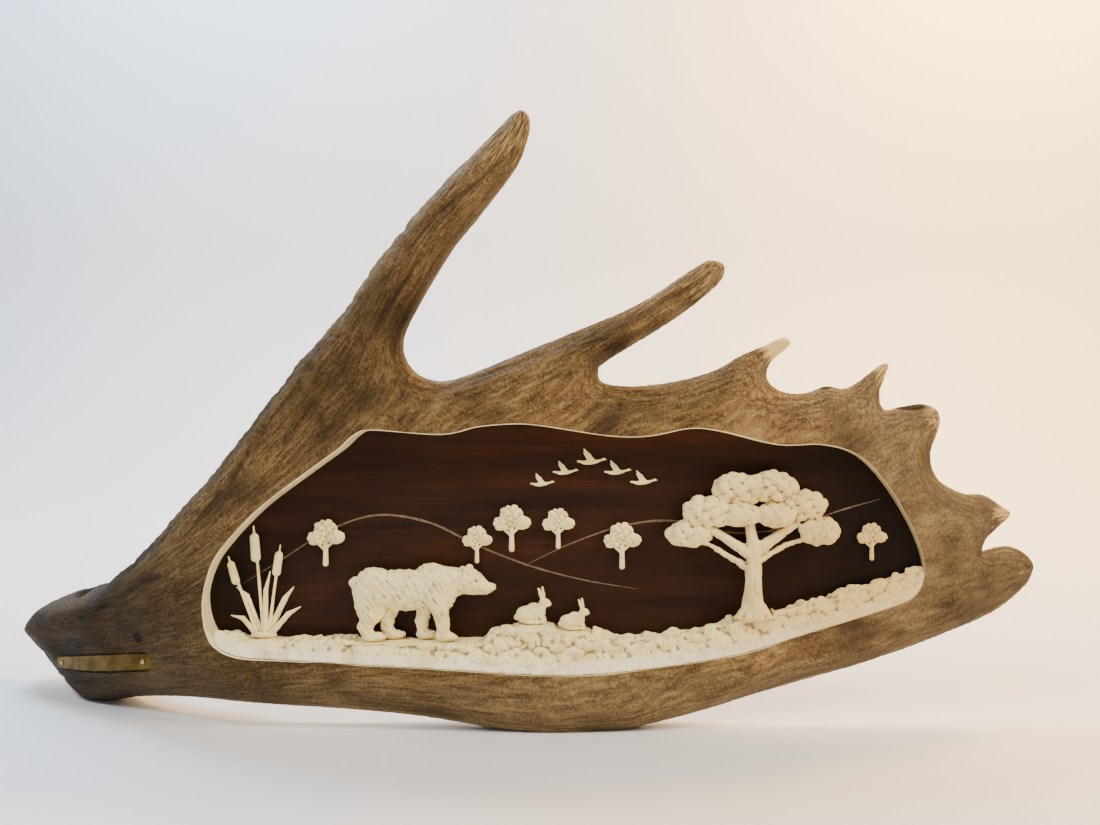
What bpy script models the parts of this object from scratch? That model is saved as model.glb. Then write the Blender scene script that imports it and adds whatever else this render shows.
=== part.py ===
"""A moose antler that stands on its lower edge, with a carved scene in a window cut through its palm.

Metres, +Z up. +X runs from the sawn butt to the blunt end of the palm, and -Y is the front.
The origin is at the bottom centre of the whole object's box.
"""

import math

import bmesh
import bpy
import numpy as np
from mathutils import Matrix, Vector

MM = 0.001
GAP = 0.3 * MM
SPLINE_STEPS = 3

# The antler's outline seen from the front, in millimetres, as (x, z), clockwise from the sawn butt.
BUTT = [(-383, 41), (-377, 56), (-357, 69), (-328, 80), (-298, 88)]
BEAM_TOP = [(-275, 100), (-245, 125), (-219, 151), (-201, 168), (-167, 208), (-129, 255)]
LONG_TINE = [
    (-106, 281), (-83, 317), (-47, 362), (-10, 403), (7, 421), (16, 427), (21, 422), (22, 414),
    (19, 401), (12, 384), (-13, 350), (-33, 324), (-59, 277), (-64, 258),
]
SECOND_TINE = [
    (-58, 244), (-46, 237), (-30, 237), (3, 249), (50, 268), (96, 288), (138, 315), (148, 319),
    (156, 316), (152, 303), (121, 278), (76, 250), (69, 242), (73, 234),
]
THIRD_POINT = [(96, 232), (124, 236), (150, 243), (167, 253), (184, 260), (198, 266), (202, 261), (188, 248)]
FOURTH_POINT = [
    (186, 236), (197, 228), (213, 227), (227, 232), (243, 231), (265, 246), (273, 247), (266, 228),
]
FIFTH_POINT = [(269, 216), (283, 219), (297, 220), (308, 215), (309, 204), (302, 184), (308, 167)]
SIXTH_POINT = [(327, 157), (342, 156), (356, 148), (364, 142), (356, 134), (345, 125), (341, 116)]
PALM_END = [(350, 118), (362, 119), (374, 114), (381, 105), (377, 94), (369, 86), (355, 76), (335, 67)]
LOWER_EDGE = [
    (293, 53), (252, 41), (212, 31), (173, 21), (135, 10), (97, 1), (60, -4), (20, -3), (-20, 3),
    (-60, 9), (-108, 13), (-160, 15), (-210, 15), (-255, 9), (-290, 0), (-313, -2), (-333, 5),
    (-351, 18), (-369, 30),
]
OUTLINE = (
    BUTT + BEAM_TOP + LONG_TINE + SECOND_TINE + THIRD_POINT + FOURTH_POINT + FIFTH_POINT
    + SIXTH_POINT + PALM_END + LOWER_EDGE
)

# Half the antler's thickness in millimetres at places on it, as (x, z, half thickness).
THICKNESS_SPOTS = [
    (-345, 45, 27), (-300, 40, 30), (-250, 65, 26), (-230, 110, 23), (-207, 95, 21), (-190, 48, 26),
    (-150, 190, 19), (-90, 270, 16), (-40, 350, 13), (10, 415, 8), (-30, 220, 14), (70, 218, 13),
    (105, 285, 10), (145, 314, 7), (150, 225, 13), (194, 258, 5), (220, 210, 12), (267, 242, 5),
    (298, 205, 10),
    (290, 150, 13), (355, 144, 5), (330, 120, 12), (372, 102, 9), (300, 70, 13), (220, 48, 15),
    (140, 27, 18), (60, 20, 20), (-40, 25, 19), (-140, 32, 19), (-230, 40, 23),
]
# How far around each spot its own thickness holds.
SPOT_REACH = 10 * MM
EDGE_ROUNDING = 22 * MM
# Half the slab that the antler is drawn from, before its surface is settled.
SLAB_HALF = 16 * MM

# The antler's mid surface is flat around the window. Its beam and far end bend back, and its tines lean back.
PALM_Y = -56 * MM
BEAM_BEND = {"x": -185 * MM, "slope": -0.58, "softness": 30 * MM}
END_BEND = {"x": 200 * MM, "slope": 0.16, "softness": 50 * MM}
TINE_LEAN = 0.25
TINE_LEAN_START = 150 * MM

# The flat that the beam was sawn off at, and the block that cuts it.
BUTT_CUT_POINT = (-350 * MM, 36 * MM, 67 * MM)
BUTT_CUT_NORMAL = (-0.45, -0.30, 0.84)
BUTT_CUTTER_SIZE = (160 * MM, 160 * MM, 60 * MM)
FLOOR_CUTTER_SIZE = (1.0, 0.5, 0.1)
# How far the other cutters run past what they cut.
CUTTER_REACH = 90 * MM

# Window outline from the front, in millimetres, as (x, z), from its lower left corner upwards.
WINDOW = [
    (-183, 55), (-194, 65), (-199, 82), (-197, 99), (-187, 119), (-160, 148), (-127, 173), (-105, 189),
    (-94, 199), (-82, 202), (-37, 199), (-13, 204), (10, 206), (29, 205), (76, 198), (103, 198), (130, 203),
    (152, 201), (190, 192), (220, 192), (244, 186), (262, 170), (280, 143), (291, 118), (293, 101),
    (286, 88), (270, 81), (213, 66), (165, 53), (95, 43), (35, 40), (-40, 44), (-110, 48), (-160, 50),
]
PANEL_FRONT = 9 * MM
PANEL_THICKNESS = 5 * MM
PANEL_OVERLAP = 9 * MM

# Where each long tine leaves the palm: a point (x, z) on the cut, the tine's direction, the cut's two sides.
LONG_TINE_FORK = ((-84 * MM, 268 * MM), (0.50, 0.87), (-60 * MM, 60 * MM))
SECOND_TINE_FORK = ((60 * MM, 255 * MM), (0.84, 0.54), (-40 * MM, 22 * MM))
FORK_BLOCK_LENGTH = 260 * MM
FORK_BLOCK_DEPTH = 200 * MM

# The top of the carved ground, in millimetres, as (x, z) from left to right, and the boulders in it.
GROUND_TOP = [
    (-210, 62), (-180, 62), (-150, 58), (-118, 60), (-80, 59), (-45, 57), (-18, 60), (6, 67), (30, 70),
    (56, 65), (80, 60), (110, 60), (140, 65), (175, 74), (205, 80), (235, 88), (262, 97), (310, 108),
]
GROUND_SETBACK = 0.35
GROUND_DRAWN_FRONT = -16 * MM
GROUND_FOOT = 20 * MM
# Where the ground is cut level for a figure's feet, each side of their middle.
BEAR_PAD = 44 * MM
OAK_PAD = 13 * MM
CATTAIL_PAD = 12 * MM
HARE_PAD = 12 * MM
BOULDER_COUNT = 34
BOULDER_SIZE = (4 * MM, 8 * MM)
BOULDERS_FROM = -190 * MM
BOULDERS_SPAN = 470 * MM

# Figures stand at (x, z) of their feet. Their shapes are in millimetres about that point.
# A blob is (x, y, z, x radius, y radius, z radius, tilt in degrees); a limb is (start, end, two radii).
BEAR_FEET = (-62 * MM, 59 * MM)
BEAR_BLOBS = [
    (0, 0, 34, 29, 8, 15, 0), (-21, 0, 35, 15, 8, 16, 0), (19, 0, 37, 14, 8, 16, 0),
    (33, 0, 40, 13, 7, 11, 12), (44, 0, 40, 10, 6, 9, 10), (53, 0, 36, 8, 4.2, 4.6, 15),
    (39, -4, 49, 3, 2, 3.6, 0), (43, 4, 49, 3, 2, 3.6, 0), (-36, 0, 39, 3, 2.5, 4, 0),
    (-23, -3, 24, 9, 4.8, 13, 0), (-14, 3, 24, 8, 4.8, 12, 0), (22, -3, 26, 7, 4.8, 12, 0),
    (28, -3.5, 3, 8, 4, 3.2, 0), (13, 3.5, 3, 8, 4, 3.2, 0), (-21, -3.5, 3, 8, 4, 3.2, 0),
    (-8, 3.5, 3, 8, 4, 3.2, 0),
]
BEAR_LIMBS = [
    ((22, -3, 30), (25, -3, 3), 5, 4.2), ((15, 3, 30), (10, 3, 3), 5, 4.2),
    ((-24, -3, 28), (-25, -3, 3), 5, 4.2), ((-14, 3, 28), (-11, 3, 3), 5, 4.2),
]
OAK_FOOT = (172 * MM, 74 * MM)
OAK_BLOBS = [
    (-42, 1, 58, 15, 6.5, 10, 15), (-30, 0, 73, 16, 7, 11, 20), (-10, 1, 88, 17, 7.5, 11, 8),
    (14, 0, 90, 16, 7.5, 11, -6), (34, 1, 77, 16, 7, 11, -20), (46, 0, 60, 14, 6.5, 10, -15),
    (-8, -1, 70, 14, 7, 9, 0), (16, -1, 70, 14, 7, 9, 0), (4, 2, 79, 15, 6, 9, 0),
]
OAK_LIMBS = [
    ((0, 0, 0), (0, 0, 14), 10, 6.5), ((0, 0, 8), (1, 0, 50), 7, 5), ((1, 0, 44), (-30, 0, 62), 4.5, 2.5),
    ((1, 0, 47), (30, 0, 65), 4.5, 2.5), ((1, 0, 46), (-4, 0, 76), 4.5, 2.5),
    ((1, 0, 34), (-22, 0, 46), 3, 1.6),
]
CATTAIL_FOOT = (-160 * MM, 60 * MM)
CATTAIL_BLOBS = [
    (0, 0, 2, 8, 4, 3, 0), (-6, 0, 62, 3.6, 3.6, 9, -5), (9, 0, 50, 3.4, 3.4, 8, 8),
    (-21, 0, 44, 3.2, 3.2, 7.5, -18),
]
CATTAIL_LIMBS = [
    ((0, 0, 1), (-7, 0, 74), 1.5, 1.2), ((3, 0, 1), (11, 0, 62), 1.5, 1.2),
    ((-4, 0, 1), (-24, 0, 54), 1.5, 1.2), ((2, 1, 1), (18, 1, 34), 2.4, 1.0),
    ((-2, 1, 1), (-14, 1, 30), 2.4, 1.0), ((1, -1, 1), (3, -1, 42), 2.4, 1.0),
    ((4, -1, 1), (25, -1, 22), 2.2, 1.0),
]
SMALL_TREE_BLOBS = [(0, 0, 14, 6, 2.2, 6, 0), (-4, 0, 10, 4.4, 2, 3.8, 0), (4.4, 0, 10.5, 4.2, 2, 3.8, 0)]
SMALL_TREE_LIMBS = [((0, 0, -1), (0, 0, 10), 1.6, 1.2)]
SMALL_TREES = [
    (-118, 108, 1.5), (-14, 110, 1.2), (10, 118, 1.5), (42, 120, 1.3), (86, 106, 1.5), (258, 112, 1.2),
]
HARE_BLOBS = [
    (0, 0, 6, 7.5, 4, 5.5, 10), (-4.5, 0, 5, 5.5, 4.6, 5, 0), (5, 0, 8, 4, 3.4, 5, 0),
    (8, 0, 13.5, 3.8, 2.6, 3, 10), (-9.5, 0, 4, 2, 2, 2, 0), (6, 0, 1.5, 4, 3, 1.8, 0),
]
HARE_LIMBS = [((7.5, -1.2, 15), (4.5, -1.4, 24), 1.6, 1.2), ((7.5, 1.2, 15), (6.5, 1.4, 24.5), 1.6, 1.2)]
HARES = [(24, 70, 1.0), (52, 66, 0.85)]
GOOSE = [
    (-8, 0.6), (-3, 1.8), (-5.5, 8), (-3, 8.8), (1.6, 2.4), (4.5, 2.0), (8.5, 3.2), (9.6, 2.2), (4.5, 0.2),
    (0, -1.0), (-3.5, -0.8),
]
GOOSE_THICKNESS = 1.6 * MM
GEESE = [(64, 178, 1.1), (82, 171, 1.0), (100, 164, 1.0), (46, 171, 0.95), (30, 163, 0.9)]

# The blank plate let into the butt: its centre behind the palm's flat, its turn and rise along the beam's
# surface, its size, and the radius that it is bent to.
PLATE_CENTRE = (-289 * MM, 32.1 * MM, 34 * MM)
PLATE_TURN = math.radians(-26.3)
PLATE_RISE = math.radians(-7.5)
PLATE_SIZE = (103 * MM, 1.0 * MM, 11.5 * MM)
PLATE_CORNER = 4 * MM
PLATE_BEND = 285 * MM
PLATE_STRIPS = 8
PIN_SPACING = 88 * MM
PIN_RADIUS = 1.8 * MM
PIN_HEIGHT = 0.9 * MM

TRIANGLES = {
    "antler": 3900, "ground": 640, "bear": 900, "oak": 640, "cattails": 380, "small_tree": 80,
    "hare": 140,
}
VOXELS = {
    "antler": 4.5 * MM, "ground": 2.6 * MM, "bear": 2 * MM, "oak": 2 * MM, "cattails": 0.9 * MM,
    "small_tree": 0.9 * MM, "hare": 1.0 * MM,
}

COLOURS = {
    "antler": "7a5f3e", "panel": "34190f", "ivory": "d9c9a3", "brass": "8a6a32", "pin": "b08a45",
}


def clear_scene():
    for obj in list(bpy.data.objects):
        bpy.data.objects.remove(obj, do_unlink=True)


def collection(name, hidden=False):
    made = bpy.data.collections.new(name)
    made.hide_render = hidden
    bpy.context.scene.collection.children.link(made)
    return made


def linear(hex_colour):
    """The linear RGBA of an sRGB hex colour."""
    channels = [int(hex_colour[i : i + 2], 16) / 255 for i in (0, 2, 4)]
    return [c / 12.92 if c <= 0.04045 else ((c + 0.055) / 1.055) ** 2.4 for c in channels] + [1.0]


def material(name, hex_colour, roughness, metallic=0.0):
    made = bpy.data.materials.new(name)
    made.use_nodes = True
    shader = made.node_tree.nodes["Principled BSDF"]
    shader.inputs["Base Color"].default_value = linear(hex_colour)
    shader.inputs["Roughness"].default_value = roughness
    shader.inputs["Metallic"].default_value = metallic
    return made


def add_object(name, mesh, group, finish=None):
    obj = bpy.data.objects.new(name, mesh)
    group.objects.link(obj)
    if finish is not None:
        mesh.materials.clear()
        mesh.materials.append(finish)
    return obj


def evaluated_mesh(obj):
    bpy.context.view_layer.update()
    graph = bpy.context.evaluated_depsgraph_get()
    return bpy.data.meshes.new_from_object(obj.evaluated_get(graph))


def apply_modifiers(obj):
    """Replaces the object's mesh by its evaluated one and drops the modifiers."""
    old = obj.data
    finishes = list(old.materials)
    obj.data = evaluated_mesh(obj)
    obj.modifiers.clear()
    obj.data.materials.clear()
    for finish in finishes:
        obj.data.materials.append(finish)
    bpy.data.meshes.remove(old)


def boolean(obj, other, operation):
    cut = obj.modifiers.new(operation.lower(), "BOOLEAN")
    cut.operation = operation
    cut.solver = "EXACT"
    cut.object = other
    apply_modifiers(obj)


def remesh(obj, voxel):
    step = obj.modifiers.new("remesh", "REMESH")
    step.mode = "VOXEL"
    step.voxel_size = voxel
    apply_modifiers(obj)


def smooth(obj, rounds):
    step = obj.modifiers.new("smooth", "SMOOTH")
    step.factor = 0.5
    step.iterations = rounds
    apply_modifiers(obj)


def decimate(obj, triangles):
    faces = sum(len(face.vertices) - 2 for face in obj.data.polygons)
    step = obj.modifiers.new("decimate", "DECIMATE")
    step.ratio = min(1.0, triangles / faces)
    step.use_collapse_triangulate = True
    apply_modifiers(obj)


def shade(obj, degrees=40):
    obj.data.shade_smooth()
    obj.data.set_sharp_from_angle(angle=math.radians(degrees))


def smooth_loop(points_mm, steps=SPLINE_STEPS):
    """A closed Catmull-Rom curve through the points, in metres, with this many points a span."""
    points = np.array(points_mm, float) * MM
    before, after, second = (np.roll(points, shift, axis=0) for shift in (1, -1, -2))
    spans = []
    for t in np.arange(steps) / steps:
        spans.append(
            0.5 * (2 * points + (after - before) * t + (2 * before - 5 * points + 4 * after - second) * t**2
                   + (3 * points - before - 3 * after + second) * t**3)
        )
    return np.stack(spans, axis=1).reshape(-1, 2)


def grown_loop(loop, distance):
    """The clockwise loop with each point moved outwards along its normal."""
    along = np.roll(loop, -1, axis=0) - np.roll(loop, 1, axis=0)
    along /= np.linalg.norm(along, axis=1, keepdims=True)
    outward = np.stack([-along[:, 1], along[:, 0]], axis=1)
    return loop + distance * outward


def prism(name, loop, y_low, y_high, group, finish=None):
    """A closed solid of the (x, z) outline between two y planes, from a filled 2D curve."""
    curve = bpy.data.curves.new(name + "_curve", "CURVE")
    curve.dimensions = "2D"
    curve.fill_mode = "BOTH"
    curve.extrude = 0.5 * (y_high - y_low)
    spline = curve.splines.new("POLY")
    spline.points.add(len(loop) - 1)
    for point, (x, z) in zip(spline.points, loop):
        point.co = (x, z, 0, 1)
    spline.use_cyclic_u = True
    guide = bpy.data.objects.new(name + "_curve", curve)
    upright = Matrix.Rotation(math.pi / 2, 4, "X")
    guide.matrix_world = Matrix.Translation((0, 0.5 * (y_low + y_high), 0)) @ upright
    group.objects.link(guide)
    mesh = evaluated_mesh(guide)
    mesh.transform(guide.matrix_world)
    bpy.data.objects.remove(guide)
    bm = bmesh.new()
    bm.from_mesh(mesh)
    bmesh.ops.remove_doubles(bm, verts=bm.verts, dist=0.01 * MM)
    bmesh.ops.recalc_face_normals(bm, faces=bm.faces)
    bm.to_mesh(mesh)
    bm.free()
    return add_object(name, mesh, group, finish)


def block(name, centre, size, group, turn=None):
    """A box of this size, turned by the matrix about its centre."""
    bm = bmesh.new()
    bmesh.ops.create_cube(bm, size=1)
    place = Matrix.Translation(centre) @ (turn or Matrix.Identity(4)) @ Matrix.Diagonal((*size, 1))
    bmesh.ops.transform(bm, matrix=place, verts=bm.verts)
    mesh = bpy.data.meshes.new(name)
    bm.to_mesh(mesh)
    bm.free()
    return add_object(name, mesh, group)


def signed_distance(points, loop):
    """Distance from (x, z) points to the closed loop, positive inside it."""
    edge = np.roll(loop, -1, axis=0) - loop
    length_squared = (edge**2).sum(axis=1)
    nearest = np.full(len(points), np.inf)
    inside = np.zeros(len(points), bool)
    for a, e, squared in zip(loop, edge, length_squared):
        offset = points - a
        t = np.clip(offset @ e / squared, 0, 1)
        nearest = np.minimum(nearest, ((offset - t[:, None] * e) ** 2).sum(axis=1))
        crosses = (offset[:, 1] < 0) != (offset[:, 1] < e[1])
        side = offset[:, 0] * e[1] - offset[:, 1] * e[0]
        inside ^= crosses & ((side < 0) == (e[1] > 0))
    return np.where(inside, 1, -1) * np.sqrt(nearest)


def half_thickness(x, z):
    """The spots' thicknesses, weighted by one over the distance cubed."""
    spots = np.array(THICKNESS_SPOTS, float) * MM
    squared = (x[:, None] - spots[:, 0]) ** 2 + (z[:, None] - spots[:, 1]) ** 2
    weight = (squared + SPOT_REACH**2) ** -1.5
    return (weight * spots[:, 2]).sum(axis=1) / weight.sum(axis=1)


def bend(x, place):
    """How far back a soft-cornered bend carries a point at x: nothing before it, its slope after it."""
    side = np.sign(place["slope"])
    past = side * (x - place["x"]) / place["softness"]
    return abs(place["slope"]) * place["softness"] * np.log1p(np.exp(past))


def mid_surface(x, z):
    """How far back the antler's middle lies, from the flat part of the palm."""
    lean = TINE_LEAN * np.clip(z - TINE_LEAN_START, 0, None) ** 2
    return bend(x, BEAM_BEND) + bend(x, END_BEND) + lean


def antler_field(points, loop):
    """One on the antler's surface, less inside it: an ellipse across each edge, flat in the middle."""
    x, y, z = points.T
    rim = np.clip(1 - signed_distance(points[:, [0, 2]], loop) / EDGE_ROUNDING, 0, None)
    return np.sqrt((y / half_thickness(x, z)) ** 2 + rim**2)


def settle(points, loop, rounds):
    """Moves each point along the field's slope, a few millimetres a round, until it lies on the surface."""
    probe = 0.3 * MM
    longest = 4 * MM
    for _ in range(rounds):
        slope = np.empty_like(points)
        for axis in range(3):
            step = np.zeros(3)
            step[axis] = probe
            rise = antler_field(points + step, loop) - antler_field(points - step, loop)
            slope[:, axis] = rise / (2 * probe)
        error = antler_field(points, loop) - 1
        move = -(error / (slope**2).sum(axis=1).clip(1e-6))[:, None] * slope
        reach = np.linalg.norm(move, axis=1, keepdims=True)
        points = points + move * np.minimum(1, longest / reach.clip(1e-9))
    return points


def coordinates(mesh):
    points = np.empty(len(mesh.vertices) * 3)
    mesh.vertices.foreach_get("co", points)
    return points.reshape(-1, 3)


def set_coordinates(mesh, points):
    mesh.vertices.foreach_set("co", points.ravel())
    mesh.update()


def whole_antler(group, finish):
    """The antler before it is cut: a slab of its outline, rounded, thinned to its points and swept back."""
    loop = smooth_loop(OUTLINE)
    antler = prism("antler_palm", loop, -SLAB_HALF, SLAB_HALF, group, finish)
    remesh(antler, VOXELS["antler"])
    set_coordinates(antler.data, settle(coordinates(antler.data), loop, rounds=6))
    smooth(antler, 3)
    set_coordinates(antler.data, settle(coordinates(antler.data), loop, rounds=2))
    decimate(antler, TRIANGLES["antler"])
    points = coordinates(antler.data)
    points[:, 1] += PALM_Y + mid_surface(points[:, 0], points[:, 2])
    set_coordinates(antler.data, points)
    return antler


def fork_block(name, fork, start, group):
    """A box that holds a tine from its fork on, starting this far along it."""
    (x, z), (dx, dz), (side_low, side_high) = fork
    turn = Matrix.Rotation(math.atan2(dx, dz), 4, "Y")
    offset = Vector((0.5 * (side_low + side_high), 0, start + 0.5 * FORK_BLOCK_LENGTH))
    size = (side_high - side_low, FORK_BLOCK_DEPTH, FORK_BLOCK_LENGTH)
    return block(name, Vector((x, PALM_Y, z)) + turn @ offset, size, group, turn)


def plate_place():
    """Where the plate lies: turned to the beam's surface, and rising along it."""
    turn = Matrix.Rotation(PLATE_TURN, 4, "Z") @ Matrix.Rotation(PLATE_RISE, 4, "Y")
    return Matrix.Translation(Vector(PLATE_CENTRE) + Vector((0, PALM_Y, 0))) @ turn


def plate_loop(grow):
    """A rectangle with round corners, clockwise from its lower left, as (x, z) about its middle."""
    corner = PLATE_CORNER + grow
    middle_x = 0.5 * PLATE_SIZE[0] + grow - corner
    middle_z = 0.5 * PLATE_SIZE[2] + grow - corner
    loop = []
    for quarter, (side_x, side_z) in enumerate(((-1, -1), (-1, 1), (1, 1), (1, -1))):
        for step in range(4):
            angle = 1.5 * math.pi - 0.5 * math.pi * (quarter + step / 3)
            x = side_x * middle_x + corner * math.cos(angle)
            z = side_z * middle_z + corner * math.sin(angle)
            loop.append((x, z))
    return loop


def plate_bow(x):
    """How far back the plate's bend carries it, this far along it from its middle."""
    return x**2 / (2 * PLATE_BEND)


def bent_plate(name, grow, y_low, y_high, group, finish=None):
    """The plate's outline as a solid between two depths, cut into strips and bent to the beam."""
    sheet = prism(name, plate_loop(grow), y_low, y_high, group, finish)
    bm = bmesh.new()
    bm.from_mesh(sheet.data)
    for index in range(1, PLATE_STRIPS):
        x = PLATE_SIZE[0] * (index / PLATE_STRIPS - 0.5)
        everything = bm.verts[:] + bm.edges[:] + bm.faces[:]
        bmesh.ops.bisect_plane(bm, geom=everything, plane_co=(x, 0, 0), plane_no=(1, 0, 0), dist=0.001 * MM)
    bm.to_mesh(sheet.data)
    bm.free()
    points = coordinates(sheet.data)
    points[:, 1] += plate_bow(points[:, 0])
    set_coordinates(sheet.data, points)
    sheet.matrix_world = plate_place()
    return sheet


def antler(group, cutters, finish):
    palm = whole_antler(group, finish)
    floor = block("floor_cutter", (0, 0, -0.5 * FLOOR_CUTTER_SIZE[2]), FLOOR_CUTTER_SIZE, cutters)
    boolean(palm, floor, "DIFFERENCE")
    normal = Vector(BUTT_CUT_NORMAL).normalized()
    centre = Vector(BUTT_CUT_POINT) + 0.5 * BUTT_CUTTER_SIZE[2] * normal
    turn = Vector((0, 0, 1)).rotation_difference(normal).to_matrix().to_4x4()
    boolean(palm, block("butt_cutter", centre, BUTT_CUTTER_SIZE, cutters, turn), "DIFFERENCE")
    seat = bent_plate("plate_seat_cutter", GAP, -CUTTER_REACH, 0.5 * PLATE_SIZE[1] + GAP, cutters)
    boolean(palm, seat, "DIFFERENCE")
    window = smooth_loop(WINDOW)
    opening = prism("window_cutter", window, PALM_Y - CUTTER_REACH, PALM_Y + CUTTER_REACH, cutters)
    boolean(palm, opening, "DIFFERENCE")
    recess = prism(
        "panel_seat_cutter", grown_loop(window[::2], PANEL_OVERLAP + GAP),
        PALM_Y + PANEL_FRONT - GAP, PALM_Y + CUTTER_REACH, cutters,
    )
    boolean(palm, recess, "DIFFERENCE")
    tines = []
    for name, fork in (("long_tine", LONG_TINE_FORK), ("second_tine", SECOND_TINE_FORK)):
        tine = add_object(name, palm.data.copy(), group, finish)
        boolean(tine, fork_block(name + "_keep", fork, GAP, cutters), "INTERSECT")
        boolean(palm, fork_block(name + "_cutter", fork, 0, cutters), "DIFFERENCE")
        tines.append(tine)
    for piece in [palm] + tines:
        shade(piece, 50)


def back_panel(group, finish):
    outline = grown_loop(smooth_loop(WINDOW)[::2], PANEL_OVERLAP)
    y = PALM_Y + PANEL_FRONT
    shade(prism("back_panel", outline, y, y + PANEL_THICKNESS, group, finish))


def add_blob(bm, blob):
    x, y, z, radius_x, radius_y, radius_z, tilt = blob
    place = Matrix.Translation(Vector((x, y, z)) * MM) @ Matrix.Rotation(math.radians(tilt), 4, "Y")
    size = Matrix.Diagonal((radius_x * MM, radius_y * MM, radius_z * MM, 1))
    bmesh.ops.create_icosphere(bm, subdivisions=2, radius=1, matrix=place @ size)


def add_limb(bm, limb):
    start, end, radius_start, radius_end = limb
    start, end = Vector(start) * MM, Vector(end) * MM
    turn = Vector((0, 0, 1)).rotation_difference(end - start).to_matrix().to_4x4()
    bmesh.ops.create_cone(
        bm, cap_ends=True, segments=10, radius1=radius_start * MM, radius2=radius_end * MM,
        depth=(end - start).length, matrix=Matrix.Translation(0.5 * (start + end)) @ turn,
    )


def figure(name, kind, blobs, limbs, group, finish):
    """A carved figure of a kind: round blobs and tapered limbs run together into one skin."""
    bm = bmesh.new()
    for blob in blobs:
        add_blob(bm, blob)
    for limb in limbs:
        add_limb(bm, limb)
    mesh = bpy.data.meshes.new(name)
    bm.to_mesh(mesh)
    bm.free()
    obj = add_object(name, mesh, group, finish)
    remesh(obj, VOXELS[kind])
    smooth(obj, 2)
    decimate(obj, TRIANGLES[kind])
    shade(obj)
    return obj


def ground_front(x, z):
    """The carved ground's front, set back from the antler's face towards the panel."""
    face = mid_surface(x, z) - half_thickness(x, z)
    return face + GROUND_SETBACK * (PANEL_FRONT - face)


def ground_bank(group, cutters, finish, pads):
    """The strip of ground with its boulders, cut to fit the window and level under each figure."""
    low, high = GROUND_DRAWN_FRONT, PANEL_FRONT
    top = [(x * MM, z * MM) for x, z in GROUND_TOP]
    outline = top + [(top[-1][0], GROUND_FOOT), (top[0][0], GROUND_FOOT)]
    bank = prism("ground_bank", outline, low, high, group, finish)
    bm = bmesh.new()
    bm.from_mesh(bank.data)
    random = np.random.default_rng(7)
    surface_x, surface_z = np.array(top).T
    for index in range(BOULDER_COUNT):
        size = random.uniform(*BOULDER_SIZE)
        x = BOULDERS_FROM + BOULDERS_SPAN * (index + random.uniform(0.1, 0.9)) / BOULDER_COUNT
        z = np.interp(x, surface_x, surface_z) - random.uniform(0.1, 1.0) * size
        y = random.uniform(low, low + 10 * MM)
        spread = [random.uniform(0.9, 1.6), 1.0, random.uniform(0.7, 1.1)]
        add_blob(bm, [v / MM for v in (x, y, z, size * spread[0], size * spread[1], size * spread[2])] + [0])
    bm.to_mesh(bank.data)
    bm.free()
    remesh(bank, VOXELS["ground"])
    smooth(bank, 1)
    points = coordinates(bank.data)
    front = ground_front(points[:, 0], points[:, 2])
    points[:, 1] = PALM_Y + high + (points[:, 1] - high) * (high - front) / (high - low)
    set_coordinates(bank.data, points)
    decimate(bank, TRIANGLES["ground"])
    inside = grown_loop(smooth_loop(WINDOW), -GAP)
    room = prism("ground_room", inside, PALM_Y - CUTTER_REACH, PALM_Y + PANEL_FRONT - GAP, cutters)
    boolean(bank, room, "INTERSECT")
    for index, (x, level, half_width) in enumerate(pads):
        centre = (x, PALM_Y, level - GAP + 0.5 * CUTTER_REACH)
        size = (2 * half_width, CUTTER_REACH, CUTTER_REACH)
        boolean(bank, block(f"pad_cutter_{index}", centre, size, cutters), "DIFFERENCE")
    shade(bank)


def placed(obj, foot, y, scale=1.0):
    """Stands the object with its lowest point at the foot's height."""
    obj.location = (foot[0], PALM_Y + y, foot[1] - scale * coordinates(obj.data)[:, 2].min())
    obj.scale = (scale, scale, scale)


def copy_of(obj, name, group):
    twin = bpy.data.objects.new(name, obj.data)
    group.objects.link(twin)
    return twin


def standing_figures(group, finish):
    bear = figure("bear", "bear", BEAR_BLOBS, BEAR_LIMBS, group, finish)
    placed(bear, BEAR_FEET, -0.5 * MM)
    oak = figure("oak_tree", "oak", OAK_BLOBS, OAK_LIMBS, group, finish)
    placed(oak, OAK_FOOT, -2.5 * MM)
    cattails = figure("cattail_clump", "cattails", CATTAIL_BLOBS, CATTAIL_LIMBS, group, finish)
    placed(cattails, CATTAIL_FOOT, 4 * MM)
    hare = figure("hare_1", "hare", HARE_BLOBS, HARE_LIMBS, group, finish)
    for index, (x, z, scale) in enumerate(HARES, 1):
        each = hare if index == 1 else copy_of(hare, f"hare_{index}", group)
        placed(each, (x * MM, z * MM), 0, scale)
    hare_pads = [(x * MM, z * MM, HARE_PAD) for x, z, _ in HARES]
    return [(*BEAR_FEET, BEAR_PAD), (*OAK_FOOT, OAK_PAD), (*CATTAIL_FOOT, CATTAIL_PAD)] + hare_pads


def panel_figures(group, finish):
    """The little trees and the geese, their backs on the panel."""
    tree = figure("small_tree_1", "small_tree", SMALL_TREE_BLOBS, SMALL_TREE_LIMBS, group, finish)
    depth = tree.dimensions.y / 2
    for index, (x, z, scale) in enumerate(SMALL_TREES, 1):
        each = tree if index == 1 else copy_of(tree, f"small_tree_{index}", group)
        placed(each, (x * MM, z * MM), PANEL_FRONT - GAP - depth * scale, scale)
    for index, (x, z, scale) in enumerate(GEESE, 1):
        outline = [(a * MM * scale, b * MM * scale) for a, b in GOOSE]
        goose = prism(f"goose_{index}", outline, -GOOSE_THICKNESS, 0, group, finish)
        placed(goose, (x * MM, z * MM), PANEL_FRONT - GAP)


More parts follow.
